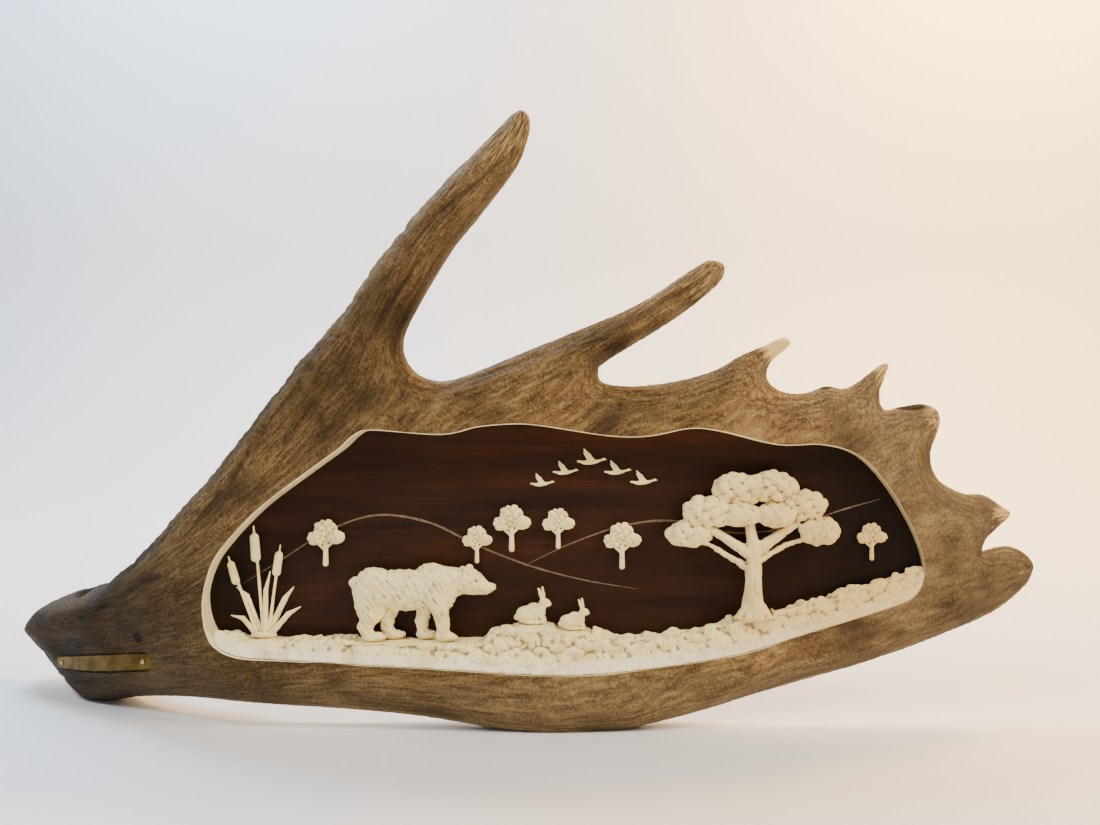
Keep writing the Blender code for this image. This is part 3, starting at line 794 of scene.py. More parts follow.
def register(obj: Object, slot: str, *nodes: str) -> None:
    """Rides a finished piece on the part's one body, hides the nodes that it replaces, and reports it with
    them.

    Args:
        obj: The piece.
        slot: The record's material slot; not used.
        nodes: The CAD nodes that it replaces.
    """
    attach(obj, BODY)
    if nodes:
        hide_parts(*nodes)
    triangles = sum(len(face.vertices) - 2 for face in obj.data.polygons)
    LOG.info("%s: %d triangles, for %s", obj.name, triangles, ", ".join(nodes) or "nothing")


# ---- The antler ----

PALM_Y = -56 * MM

# The antler's outline seen from the front, in millimetres, as (x, z), clockwise from the sawn butt.
BUTT = [(-383, 41), (-377, 56), (-357, 69), (-328, 80), (-298, 88)]
BEAM_TOP = [(-275, 100), (-245, 125), (-219, 151), (-201, 168), (-167, 208), (-129, 255)]
LONG_TINE = [
    (-106, 281), (-83, 317), (-47, 362), (-10, 403), (7, 421), (16, 427), (21, 422), (22, 414),
    (19, 401), (12, 384), (-13, 350), (-33, 324), (-59, 277), (-64, 258),
]
SECOND_TINE = [
    (-58, 244), (-46, 237), (-30, 237), (3, 249), (50, 268), (96, 288), (138, 315), (148, 319),
    (156, 316), (152, 303), (121, 278), (76, 250), (69, 242), (73, 234),
]
THIRD_POINT = [(96, 232), (124, 236), (150, 243), (167, 253), (184, 260), (198, 266), (202, 261), (188, 248)]
FOURTH_POINT = [
    (186, 236), (197, 228), (213, 227), (227, 232), (243, 231), (265, 246), (273, 247), (266, 228),
]
FIFTH_POINT = [(269, 216), (283, 219), (297, 220), (308, 215), (309, 204), (302, 184), (308, 167)]
SIXTH_POINT = [(327, 157), (342, 156), (356, 148), (364, 142), (356, 134), (345, 125), (341, 116)]
PALM_END = [(350, 118), (362, 119), (374, 114), (381, 105), (377, 94), (369, 86), (355, 76), (335, 67)]
LOWER_EDGE = [
    (293, 53), (252, 41), (212, 31), (173, 21), (135, 10), (97, 1), (60, -4), (20, -3), (-20, 3),
    (-60, 9), (-108, 13), (-160, 15), (-210, 15), (-255, 9), (-290, 0), (-313, -2), (-333, 5),
    (-351, 18), (-369, 30),
]
OUTLINE = (
    BUTT + BEAM_TOP + LONG_TINE + SECOND_TINE + THIRD_POINT + FOURTH_POINT + FIFTH_POINT
    + SIXTH_POINT + PALM_END + LOWER_EDGE
)
# Half the antler's thickness in millimetres at places on it, as (x, z, half thickness).
THICKNESS_SPOTS = [
    (-345, 45, 27), (-300, 40, 30), (-250, 65, 26), (-230, 110, 23), (-207, 95, 21), (-190, 48, 26),
    (-150, 190, 19), (-90, 270, 16), (-40, 350, 13), (10, 415, 8), (-30, 220, 14), (70, 218, 13),
    (105, 285, 10), (145, 314, 7), (150, 225, 13), (194, 258, 5), (220, 210, 12), (267, 242, 5),
    (298, 205, 10), (290, 150, 13), (355, 144, 5), (330, 120, 12), (372, 102, 9), (300, 70, 13),
    (220, 48, 15), (140, 27, 18), (60, 20, 20), (-40, 25, 19), (-140, 32, 19), (-230, 40, 23),
]
# Window outline from the front, in millimetres, as (x, z), from its lower left corner upwards.
WINDOW = [
    (-183, 55), (-194, 65), (-199, 82), (-197, 99), (-187, 119), (-160, 148), (-127, 173), (-105, 189),
    (-94, 199), (-82, 202), (-37, 199), (-13, 204), (10, 206), (29, 205), (76, 198), (103, 198), (130, 203),
    (152, 201), (190, 192), (220, 192), (244, 186), (262, 170), (280, 143), (291, 118), (293, 101),
    (286, 88), (270, 81), (213, 66), (165, 53), (95, 43), (35, 40), (-40, 44), (-110, 48), (-160, 50),
]
# Each point of the antler, in millimetres: (x, z) of its tip, the share of the growth that ends in it, how
# much of the edge round the tip that share ends on, how far its rubbed bone reaches back and how bare it is.
TIPS = [
    (16, 427, 4.0, 24, 90, 0.36), (152, 317, 2.6, 20, 60, 0.33), (199, 264, 1.4, 14, 30, 1.0),
    (270, 247, 1.4, 14, 22, 0.55), (309, 210, 1.4, 18, 24, 0.42), (364, 142, 1.2, 16, 26, 0.55),
    (379, 104, 1.6, 40, 24, 0.2),
]
# Dark spots in millimetres: (x, y, z), where y None is the front face, the radius across and up, and how
# deep it is sunk. They are the two stubs' open cores, a bored hole left of the window and two hollows in the
# sawn butt.
SPOTS = [
    (287, -46, 220, 16, 6, 0.8), (224, -54, 232, 10, 3, 0.3), (-252, None, 57, 6, 5, 1.5),
    (-327, 23, 77, 15, 8, 7.0), (-352, 12, 62, 8, 4, 1.6),
]
# Where the antler is darker (a positive amount) or paler (a negative one) than round about, each a soft spot
# in millimetres: (x, z, radius, amount). The dark spots at (136, 289), (110, 270) and (84, 255) are painted
# shade along the second tine's underside.
TONES = [
    (-222, 112, 26, -0.25), (-190, 148, 26, -0.36), (-150, 172, 16, -0.35), (-120, 215, 20, 0.15),
    (-118, 236, 20, 0.35), (-100, 212, 14, -0.4), (-76, 288, 22, 0.45), (-36, 342, 18, 0.15),
    (-14, 228, 17, 0.35), (40, 250, 24, 0.36), (104, 217, 26, 0.4), (118, 297, 20, -0.2),
    (142, 226, 24, 0.3), (238, 200, 20, -0.5), (183, 246, 17, -0.2), (282, 180, 22, 0.17),
    (318, 104, 30, 0.5), (370, 104, 22, 0.4), (257, 56, 32, 0.4), (120, 28, 34, -0.5),
    (-98, 28, 28, -0.4), (-168, 22, 36, 0.3), (20, 398, 12, 0.5), (136, 289, 9, 0.5),
    (110, 270, 11, 0.5), (84, 255, 12, 0.5), (-222, 88, 20, 0.25), (318, 66, 20, 0.35),
    (338, 122, 12, 0.3), (64, 256, 14, 0.3), (-92, 304, 9, -0.4), (70, 222, 22, 0.22),
    (172, 32, 26, 0.2), (-262, 63, 30, 0.08),
]
# Furrows in the front face: two down the beam to the butt and two up each of the long tines. Each has its
# share of the full depth, and its path in millimetres, as (x, z).
FURROWS = [
    (1.0, [
        (-124, 247), (-144, 217), (-161, 195), (-183, 162), (-210, 133), (-238, 104), (-261, 89), (-279, 78),
        (-303, 67), (-327, 56),
    ]),
    (1.0, [(-233, 101), (-248, 95), (-267, 82), (-307, 63)]),
    (1.0, [(-98, 272), (-83, 291), (-64, 320), (-41, 349), (-14, 371), (4, 391)]),
    (1.0, [(-84, 264), (-75, 280), (-55, 314), (-38, 332)]),
    (0.45, [(0, 228), (22, 240), (46, 252), (72, 264), (96, 277), (122, 293), (136, 302)]),
    (0.6, [(74, 256), (92, 266), (112, 278), (132, 293)]),
]
PANEL_FRONT = 9 * MM
PANEL_OVERLAP = 9 * MM


@dataclass(frozen=True)
class Bend:
    """A soft-cornered bend of the antler's middle: flat up to x, then sloping back."""

    x: float
    slope: float
    softness: float

    def back(self, x: Array) -> Array:
        """How far back it carries a point: slope times softness times log(1 + e^((x - start)/softness))."""
        past = math.copysign(1, self.slope) * (x - self.x) / self.softness
        return abs(self.slope) * self.softness * np.log1p(np.exp(past))


@dataclass
class AntlerForm:
    """The antler's form: its plan, its thickness, its sweep and the lines it grew along."""

    beam_bend: Bend = Bend(-185 * MM, -0.58, 30 * MM)
    end_bend: Bend = Bend(200 * MM, 0.16, 50 * MM)
    tine_lean: float = 0.25
    tine_lean_start: float = 150 * MM
    spot_reach: float = 10 * MM
    edge_rounding: float = 22 * MM
    thinnest: float = 3 * MM
    blur: int = 4
    pitch: float = 1.62 * MM
    growth_pitch: float = 3.0 * MM
    growth_sweeps: int = 600
    overshoot: float = 1.9
    margin: float = 9 * MM
    beam_width: float = 100 * MM
    butt_over: float = 95 * MM
    butt_under: float = 75 * MM

    def __post_init__(self) -> None:
        """Works out the plan's grids."""
        self.loop = smooth_curve(OUTLINE, 5, closed=True)
        self.low = self.loop.min(axis=0) - self.margin
        self.high = self.loop.max(axis=0) + self.margin
        self.plan = self.grid(self.pitch)
        self.inset = signed_distance(self.plan, self.loop)
        widest = over_squares(self.inset, round(self.edge_rounding / self.pitch), np.maximum)
        width = over_squares(widest.clip(self.thinnest, self.edge_rounding), self.blur, np.add)
        self.width = width / (2 * self.blur + 1) ** 2
        self.growth = self.growth_lines()

    def grid(self, pitch: float) -> Array:
        """The places (x, z) of a grid over the plan, (nx, nz, 2)."""
        return grid_of([np.arange(low, high, pitch) for low, high in zip(self.low, self.high)])

    def read(self, values: Array, pitch: float, x: Array, z: Array) -> Array:
        """A grid's value at any place: the four values round it, mixed by how near they are.

        Args:
            values: The grid's values, (nx, nz).
            pitch: The grid's step.
            x: Places along X, (n,).
            z: Places along Z, (n,).

        Returns:
            The values there, (n,).
        """
        u = np.clip((x - self.low[0]) / pitch, 0, values.shape[0] - 1.001)
        w = np.clip((z - self.low[1]) / pitch, 0, values.shape[1] - 1.001)
        i, k = u.astype(int), w.astype(int)
        u, w = u - i, w - k
        near = values[i, k] * (1 - u) + values[i + 1, k] * u
        far = values[i, k + 1] * (1 - u) + values[i + 1, k + 1] * u
        return near * (1 - w) + far * w

    def inset_at(self, x: Array, z: Array) -> Array:
        """How far inside the outline places are."""
        return self.read(self.inset, self.pitch, x, z)

    def half_thickness(self, x: Array, z: Array) -> Array:
        """The spots' thicknesses, weighted by one over the distance cubed."""
        total, weights = 0.0, 0.0
        for spot_x, spot_z, half in THICKNESS_SPOTS:
            squared = (x - spot_x * MM) ** 2 + (z - spot_z * MM) ** 2
            weight = (squared + self.spot_reach**2) ** -1.5
            total, weights = total + weight * half * MM, weights + weight
        return total / weights

    def middle(self, x: Array, z: Array) -> Array:
        """How far back the antler's middle lies: both bends, and the tines' lean by their height squared."""
        lean = self.tine_lean * np.clip(z - self.tine_lean_start, 0, None) ** 2
        return PALM_Y + self.beam_bend.back(x) + self.end_bend.back(x) + lean

    def growth_lines(self) -> Array:
        """The stream function of growth that flows like water from the butt to the points.

        The function is constant along each edge between two points, steps up by a point's share round its
        tip, and falls back to where it began across the butt, from the lower edge round to the upper one.
        Inside it is the mean of its neighbours everywhere, which repeated overshooting sweeps over the two
        colours of a chequerboard bring about.

        Returns:
            The function on a grid of growth_pitch, scaled to metres across the beam.
        """
        steps = np.linalg.norm(np.roll(self.loop, -1, axis=0) - self.loop, axis=1)
        run = np.concatenate([[0], np.cumsum(steps)[:-1]])
        total = sum(tip[2] for tip in TIPS)
        past = np.where(run > 0.5 * run[-1], run - run[-1], run)
        edge = total * (1 - np.clip((past + self.butt_under) / (self.butt_over + self.butt_under), 0, 1))
        edge[past < 0] -= total
        for x, z, share, spread, _, _ in TIPS:
            at = run[np.argmin(np.linalg.norm(self.loop - np.array([x, z]) * MM, axis=1))]
            edge += share * np.clip((run - at) / (spread * MM) + 0.5, 0, 1)
        plan = self.grid(self.growth_pitch)
        inside = signed_distance(plan, self.loop) > 0
        nearest = np.full(inside.shape, np.inf)
        flow = np.zeros(inside.shape)
        for corner, value in zip(self.loop, edge):
            distance = ((plan - corner) ** 2).sum(axis=-1)
            flow = np.where(distance < nearest, value, flow)
            nearest = np.minimum(nearest, distance)
        parity = np.indices(inside.shape).sum(axis=0) % 2
        for sweep in range(self.growth_sweeps):
            mean = 0.25 * sum(np.roll(flow, step, axis) for axis in (0, 1) for step in (1, -1))
            turn = inside & (parity == sweep % 2)
            flow = np.where(turn, flow + self.overshoot * (mean - flow), flow)
        return flow * self.beam_width / total

    def grain(self, points: Array) -> Array:
        """The growth coordinates of points: along the growth, across it, and depth from the middle."""
        x, y, z = points.T
        across = self.read(self.growth, self.growth_pitch, x, z)
        return np.stack([0.8 * x + 0.6 * z, across, y - self.middle(x, z)], axis=1)

    def facing(self, x: Array, z: Array, way: Pair) -> Array:
        """How far the nearest edge faces a way: the inset's slope, turned outwards, times the way."""
        slopes = np.gradient(self.inset, self.pitch)
        return -sum(self.read(slope, self.pitch, x, z) * part for slope, part in zip(slopes, way))

    def front(self, x: Array, z: Array) -> Array:
        """The front's depth: the middle's, less the half thickness times sqrt(1 - rim^2)."""
        width = self.read(self.width, self.pitch, x, z)
        rim = np.clip(1 - self.inset_at(x, z) / width, 0, 1)
        return self.middle(x, z) - self.half_thickness(x, z) * np.sqrt(1 - rim**2)

    def field(self) -> tuple[Array, Array]:
        """The antler's field on a grid over its plan and depth, with the sweep taken out.

        It is the ellipse sqrt((y/thickness)^2 + rim^2) - 1, where rim falls from one at the outline to zero
        at the edge rounding's reach, or in the middle of a tine that is narrower than that. It is scaled to
        be near a distance.

        Returns:
            The field, (nx, ny, nz), and the depths of its layers, (ny,).
        """
        x, z = self.plan[..., 0], self.plan[..., 1]
        half = self.half_thickness(x, z)
        rim = np.clip(1 - self.inset / self.width, 0, None)
        depth_reach = half.max() + 3 * self.pitch
        depths = np.arange(-depth_reach, depth_reach + self.pitch, self.pitch)
        squared = (depths[None, :, None] / half[:, None, :]) ** 2 + (rim**2)[:, None, :]
        scale = np.minimum(half, self.width)[:, None, :]
        return (np.sqrt(squared) - 1) * scale, depths


class CutFace(Enum):
    """What the antler shows where it is cut, by the number of its material."""

    WEATHERED = 0
    SAWN = 1


@dataclass
class Antler:
    """The whole antler, one grown piece, with its window, the panel's seat and the plate's seat cut in it.

    Its relief has channels, cords, fine ridges, pearls, a swell, lumps on its edges and furrows. Each has
    its height, and the size of its noise's cells in millimetres. The window's front edge is broken by a lip
    that follows the antler's face, wider above than at the foot.
    """

    form: AntlerForm
    channel: float = 0.9 * MM
    channel_cells: Triple = (150, 15, 18)
    channel_width: float = 0.2
    cord: float = 0.45 * MM
    cord_cells: Triple = (60, 6, 8)
    fine_ridge: float = 0.26 * MM
    fine_cells: Triple = (22, 2.6, 3.2)
    pearl: float = 2.0 * MM
    pearl_cells: Pair = (8.5, 4.2)
    swell: float = 0.8 * MM
    swell_cell: float = 34
    edge_lump: float = 0.5 * MM
    edge_lump_cell: float = 3.6
    furrow: float = 1.5 * MM
    furrow_width: float = 1.7 * MM
    furrow_cell: float = 16
    on_saw_cut: float = 0.08
    lip: float = 0.62 * MM
    foot_lip: float = 0.05 * MM
    cut_point: Triple = (-350 * MM, 36 * MM, 67 * MM)
    cut_normal: Triple = (-0.45, -0.30, 0.84)
    cut_end: float = -300 * MM
    cut_fade: float = 0.6
    cut_rounding: float = 9 * MM
    cutter_reach: float = 90 * MM
    sharp_angle: float = math.radians(42)

    def __post_init__(self) -> None:
        """Brings the saw cut's normal to a length of one."""
        self.normal = np.array(self.cut_normal) / np.linalg.norm(self.cut_normal)

    def cut_depth(self, points: Array) -> Array:
        """How far points stand proud of the plane that the beam was sawn off at."""
        return (points - np.array(self.cut_point)) @ self.normal

    def body(self) -> Skin:
        """The antler before it is carved: its field, cut by the saw's plane, the edge rounded, swept back.

        Right of the cut's end the plane rises off the beam, by the fade for each unit of length.
        """
        form, normal = self.form, self.normal
        values, depths = form.field()
        x, z = form.plan[..., 0], form.plan[..., 1]
        flat = (x - self.cut_point[0]) * normal[0] + (z - self.cut_point[2]) * normal[2]
        flat += (form.middle(x, z) - self.cut_point[1]) * normal[1]
        flat -= self.cut_fade * np.clip(x - self.cut_end, 0, None)
        plane = flat[:, None, :] + normal[1] * depths[None, :, None]
        values = -soft_union(-values, -plane, self.cut_rounding)
        low = np.array([form.low[0], depths[0], form.low[1]])
        skin = Skin.of_field(values, low, form.pitch).smoothed(3)
        points = skin.points
        points[:, 1] += form.middle(points[:, 0], points[:, 2])
        return skin

    def relief(self, points: Array) -> Array:
        """The heights of the antler's own relief, all noises on its growth coordinates or in space.

        Channels run where a long noise crosses zero: minus their depth times e^-(noise/width)^2. Cords and
        fine ridges are noises drawn out along the growth, a swell is not. Pearls are round lumps, kept to
        the beam's upper edge, and small lumps roughen every edge. Little of it is left on the saw cut. The
        furrows are sunk along their paths on the front, each minus its depth times e^-(distance/width)^2,
        and the spots last.

        Args:
            points: Points on the antler, (n, 3).

        Returns:
            Heights in metres, (n,).
        """
        x, z = points[:, 0], points[:, 2]
        grain = self.form.grain(points)
        inset = self.form.inset_at(x, z)
        grown = np.maximum(rise(-self.cut_depth(points), 0.4, 3), rise(x - self.cut_end, 0, 20))
        inner = rise(inset, 0, 4)
        near_top = fall(grain[:, 1], 3, 17) * rise(-x, 0, 60)
        crossing = value_noise(in_cells(grain, *self.channel_cells), 3) / self.channel_width
        cords = value_noise(in_cells(grain, *self.cord_cells), 4)
        fine = value_noise(in_cells(grain, *self.fine_cells), 5)
        swell = value_noise(in_cells(points, self.swell_cell), 9)
        large = lump_noise(in_cells(points, self.pearl_cells[0]), 11)
        small = lump_noise(in_cells(points, self.pearl_cells[1]), 12)
        lumps = lump_noise(in_cells(points, self.edge_lump_cell), 13)
        heights = self.cord * cords - self.channel * np.exp(-(crossing**2)) * inner + self.fine_ridge * fine
        heights += self.swell * swell * inner + self.pearl * (large + 0.45 * small - 0.7) * near_top
        heights += self.edge_lump * (lumps - 0.5) * fall(inset, 2, 8)
        heights *= np.maximum(grown, self.on_saw_cut)
        uneven = 0.75 + 0.6 * value_noise(in_cells(points, self.furrow_cell), 16)
        for share, path in FURROWS:
            near = path_distance(points[:, [0, 2]], np.array(path) * MM) / self.furrow_width
            heights -= share * self.furrow * uneven * np.exp(-(near**2)) * (grain[:, 2] < 0)
        for distance, depth in self.spots(points):
            heights -= depth * (1 - eased_step(distance, 0.3, 1.0))
        return heights

    def spots(self, points: Array) -> list[tuple[Array, float]]:
        """How far points are from each dark spot's middle, with its radii as one, and the spot's depth."""
        found = []
        for x, y, z, across, up, depth in SPOTS:
            face = self.form.front(np.array([x * MM]), np.array([z * MM]))[0] if y is None else y * MM
            offset = (points - np.array([x * MM, face, z * MM])) / (np.array([across, across, up]) * MM)
            found.append((np.linalg.norm(offset, axis=1), depth * MM))
        return found

    def tone(self, points: Array) -> Array:
        """How much darker or paler points are than round about: amounts times e^-(distance/radius)^2."""
        total = np.zeros(len(points))
        for x, z, radius, amount in TONES:
            squared = ((points[:, 0] - x * MM) ** 2 + (points[:, 2] - z * MM) ** 2) / (radius * MM) ** 2
            total += amount * np.exp(-squared)
        return total * (1 + 0.5 * value_noise(in_cells(points, 12), 15))

    def wear(self, points: Array) -> Array:
        """How bare the tips are rubbed: each tip's bareness, eased out over its reach."""
        wear = np.zeros(len(points))
        for x, z, _, _, reach, bare in TIPS:
            near = 1 - np.hypot(points[:, 0] - x * MM, points[:, 2] - z * MM) / (reach * MM)
            wear = np.maximum(wear, bare * eased_step(near, 0.0, 0.8))
        return wear

    def stains_and_shade(self, points: Array) -> tuple[Array, Array]:
        """How dark points are, by ageing and by painted shade, and how grey, by bleaching and by painted
        shade.

        Ageing grows toward the butt, and bleaching toward the palm's far end; greying along the lower edge is
        painted cool shade. The beam's upper edge and the edges that face right have more of both, as painted
        shade; the tines' upper rims are paler, a painted highlight; the saw cut has less darkening and more
        greying. The spots of TONES add to the darkening.

        Args:
            points: Points on the antler, (n, 3).

        Returns:
            Both, from zero to one, (n,).
        """
        x, _, z = points.T
        inset = self.form.inset_at(x, z)
        rim = fall(inset, 2, 9) * fall(self.form.grain(points)[:, 1], 6, 16)
        # Painted shade: the beam's upper edge and the edges that face right are darkened and greyed as sides
        # turned from the light.
        upper_edge_shade = rim * rise(-x, 90, 170)
        under = eased_step(self.form.facing(x, z, (0.95, -0.3)), 0.1, 0.9) * fall(inset, 1, 12)
        sawn = fall(-self.cut_depth(points), 0.5, 3) * rise(self.cut_end - x, 0, 12)
        age = 0.52 * rise(-x, -60, 110) + 0.48 * rise(-x, 150, 330)
        # The tines' upper rims get less darkening: a painted highlight.
        age += 0.2 * upper_edge_shade - 0.3 * rim * rise(z, 230, 300) + 0.3 * under - 0.25 * sawn
        # Greying along the lower edge is painted cool shade under the bar; toward the palm's far end it is
        # real bleaching.
        bleach_and_shade = 0.8 * rise(x, 100, 330) + 0.6 * fall(z, 25, 60)
        bleach_and_shade += 0.6 * upper_edge_shade + 0.8 * under + 0.8 * sawn
        return (age + self.tone(points)).clip(0, 1), bleach_and_shade.clip(0, 1)

    def masks(self, points: Array) -> dict[str, Array]:
        """What the material reads from the mesh: growth lines, relief, wear, open core, and the darkening and
        greying, both partly painted shade.
        """
        core = np.max([1 - eased_step(distance, 0.6, 1.0) for distance, _ in self.spots(points)], axis=0)
        age, bleach_and_shade = self.stains_and_shade(points)
        relief = self.relief(points) / self.channel
        return {
            "grain": self.form.grain(points), "relief": relief, "wear": self.wear(points), "core": core,
            "age": age, "bleach_and_shade": bleach_and_shade,
        }

    def cutters(self, plate: "NamePlate") -> list[tuple[Object, CutFace]]:
        """The window's, the panel's seat's and the plate's seat's cutters, with what their cuts show."""
        window = smooth_curve(WINDOW, 5, closed=True)
        upper = np.maximum(rise(window[:, 1], 84, 110), rise(-window[:, 0], 120, 170))
        lip = self.foot_lip + (self.lip - self.foot_lip) * upper
        wide = grown_loop(window, 3 * lip)
        seat = grown_loop(window[::2], PANEL_OVERLAP + GAP)
        face = self.form.front(*window.T)
        face -= self.relief(np.insert(window, 1, face, axis=1))
        front, back = PALM_Y - self.cutter_reach, PALM_Y + self.cutter_reach
        opening = [(wide, front), (wide, face - 2 * lip), (window, face + lip), (window, back)]
        return [
            (prism("window_cutter", opening), CutFace.SAWN),
            (prism("seat_cutter", [(seat, PALM_Y + PANEL_FRONT - GAP), (seat, back)]), CutFace.SAWN),
            (plate.seat_cutter(), CutFace.WEATHERED),
        ]

    def build(self, plate: "NamePlate") -> Object:
        """Makes the antler, cuts the window and the seats, and stands it in for the three antler nodes."""
        skin = self.body()
        skin = skin.raised(self.relief(skin.points))
        skin.points[:, 2] = skin.points[:, 2].clip(0)
        antler = dress(skin.as_object("antler"), WeatheredAntler().material(), SawnAntler().material())
        for cutter, shown in self.cutters(plate):
            dress(cutter, *antler.data.materials)
            numbers = np.full(len(cutter.data.polygons), shown.value, np.int32)
            cutter.data.polygons.foreach_set("material_index", numbers)
            cut_away(antler, cutter)
        antler.data.shade_smooth()
        antler.data.set_sharp_from_angle(angle=self.sharp_angle)
        for name, values in self.masks(points_of(antler)).items():
            set_attribute(antler, name, values)
        register(antler, "antler", "antler_palm", "long_tine", "second_tine")
        return antler


# ---- The plate and its pins ----


@dataclass
class NamePlate:
    """The blank brass plate let into the butt, bent to the beam, with a round-headed pin at each end."""

    centre: Triple = (-289 * MM, PALM_Y + 32.1 * MM, 34 * MM)
    turn: float = math.radians(-26.3)
    rise: float = math.radians(-7.5)
    length: float = 103 * MM
    thickness: float = 1.0 * MM
    height: float = 11.5 * MM
    taper: float = 0.26
    roundness: float = 0.86
    bend: float = 285 * MM
    rim: float = 0.35 * MM
    pin_spacing: float = 88 * MM
    pin_radius: float = 1.8 * MM
    pin_height: float = 0.9 * MM
    seat_gap: float = 1.2 * MM
    seat_reach: float = 90 * MM

    def placed(self, points: Array) -> Array:
        """Bends points along the plate by x^2 / (2 radius), then turns and moves them to the beam."""
        x, y, z = points.T
        y = y + x**2 / (2 * self.bend)
        x, z = turned(x, z, -self.rise)
        x, y = turned(x, y, self.turn)
        return np.stack([x, y, z], axis=1) + np.array(self.centre)

    def half_height(self, x: Array, grow: float) -> Array:
        """Half the plate's height along it: less by the taper at the left, a quarter circle at each end.

        Args:
            x: Places along the plate.
            grow: How much larger than the plate.

        Returns:
            The half heights. The circle's radius is their share that roundness gives.
        """
        full = 0.5 * self.height * (1 - self.taper * eased_step(-x, 0.0, 0.5 * self.length)) + grow
        corner = self.roundness * full
        past = np.clip(np.abs(x) - (0.5 * self.length + grow - corner), 0, corner)
        return full - corner + np.sqrt(corner**2 - past**2)

    def slab(self, grow: float, y_front: float, y_back: float, rim: float) -> tuple[Array, list]:
        """The plate's shape, or its seat's: a rectangle carried along it, its front corners cut by the rim.

        Places crowd toward the ends, where the outline turns, by the sine of an even step.

        Args:
            grow: How much larger than the plate all round.
            y_front: The front face before it is bent.
            y_back: The back face.
            rim: The width of the rubbed edge.

        Returns:
            The points, bent and placed, and the faces.
        """
        half = 0.5 * self.length + grow
        x = half * np.sin(np.linspace(-0.5 * math.pi, 0.5 * math.pi, 61))
        high = self.half_height(x, grow)
        ring = [
            (-1, y_front + rim, 0), (-1, y_front, rim), (1, y_front, rim), (1, y_front + rim, 0),
            (1, y_back, 0), (-1, y_back, 0),
        ]
        edges = [np.stack([x, np.full_like(x, y), side * (high - inset)], axis=1) for side, y, inset in ring]
        points = np.stack(edges, axis=1).reshape(-1, 3)
        return self.placed(points), tube_faces(len(x), len(ring))

    def seat_cutter(self) -> Object:
        """What is cut from the beam for the plate."""
        points, faces = self.slab(self.seat_gap, -self.seat_reach, 0.5 * self.thickness + GAP, 0.05 * MM)
        return mesh_object("plate_seat_cutter", points, faces)

    def pin(self, side: int, name: str) -> Object:
        """A pin's domed head: its height is the pin's times the root of one less the squared radius share.

        Args:
            side: -1 for the left one, 1 for the right one.
            name: The object's name.

        Returns:
            The closed dome.
        """
        share = np.sin(np.linspace(0.0, 0.5 * math.pi, 9))
        angle = np.linspace(0, 2 * math.pi, 25)[:-1]
        radius = self.pin_radius * share
        out = self.pin_height * np.sqrt(1 - share**2)
        x = side * 0.5 * self.pin_spacing + radius[1:, None] * np.cos(angle)
        z = radius[1:, None] * np.sin(angle)
        base = -0.5 * self.thickness - GAP
        y = np.broadcast_to(base - out[1:, None], x.shape)
        rings = np.stack([x, y, z], axis=-1).reshape(-1, 3)
        top = np.array([[side * 0.5 * self.pin_spacing, base - self.pin_height, 0]])
        count = len(angle)
        faces = (grid_faces(len(share) - 1, count, wraps=True) + 1).tolist()
        faces += [[0, 1 + k, 1 + (k + 1) % count] for k in range(count)]
        last = 1 + (len(share) - 2) * count
        faces.append([last + k for k in range(count)][::-1])
        return mesh_object(name, self.placed(np.concatenate([top, rings])), faces)

    def build(self) -> None:
        """Makes the plate and both pins in place of their nodes."""
        points, faces = self.slab(0, -0.5 * self.thickness, 0.5 * self.thickness, self.rim)
        aged = Brass(Metal.AGED, bright="5f4e24", dull="403216", roughness=0.45)
        plate = dress(mesh_object("plate_brass", points, faces), aged.material())
        plate.data.set_sharp_from_angle(angle=math.radians(30))
        register(plate, "brass_plate", "brass_plate")
        finish = Brass(Metal.RUBBED, bright="bd9c5c", dull="86662f", roughness=0.34).material()
        for number, side in enumerate((-1, 1), 1):
            pin = dress(self.pin(side, f"pin_head_{number}"), finish)
            pin.data.set_sharp_from_angle(angle=math.radians(50))
            register(pin, "brass_pin", f"plate_pin_{number}")


# ---- Carved figures ----


@dataclass(frozen=True)
class Blob:
    """An ellipsoid, in millimetres about a figure's feet: centre, radii, and tilt about Y in degrees."""

    centre: Triple
    radii: Triple
    tilt: float = 0.0

    def distance(self, points: Array) -> Array:
        """About how far points are from it: k(k - 1)/k', k their distance in radii, k' in squared radii."""
        offset = points - np.array(self.centre) * MM
        x, z = turned(offset[..., 0], offset[..., 2], math.radians(self.tilt))
        offset = np.stack([x, offset[..., 1], z], axis=-1)
        radii = np.array(self.radii) * MM
        k = np.linalg.norm(offset / radii, axis=-1)
        steep = np.linalg.norm(offset / radii**2, axis=-1)
        return k * (k - 1) / steep.clip(1e-6)

    def reach(self) -> tuple[Array, Array]:
        """The corners of a box that holds it."""
        widest = max(self.radii[0], self.radii[2])
        radii = np.array([widest, self.radii[1], widest])
        return (np.array(self.centre) - radii) * MM, (np.array(self.centre) + radii) * MM


@dataclass(frozen=True)
class Limb:
    """A round rod that tapers between two ends, in millimetres, thinner front to back by its flatness."""

    start: Triple
    end: Triple
    radius_start: float
    radius_end: float
    flatness: float = 1.0

    def distance(self, points: Array) -> Array:
        """How far points are from its line, less the radius there, which falls evenly from end to end."""
        squeeze = np.array([1, 1 / self.flatness, 1])
        start, end = np.array(self.start) * MM * squeeze, np.array(self.end) * MM * squeeze
        line = end - start
        offset = points * squeeze - start
        t = np.clip(offset @ line / (line @ line), 0, 1)
        radius = (self.radius_start + (self.radius_end - self.radius_start) * t) * MM
        return np.linalg.norm(offset - t[..., None] * line, axis=-1) - radius

    def reach(self) -> tuple[Array, Array]:
        """The corners of a box that holds it."""
        ends = np.array([self.start, self.end])
        radius = max(self.radius_start, self.radius_end)
        return (ends.min(axis=0) - radius) * MM, (ends.max(axis=0) + radius) * MM


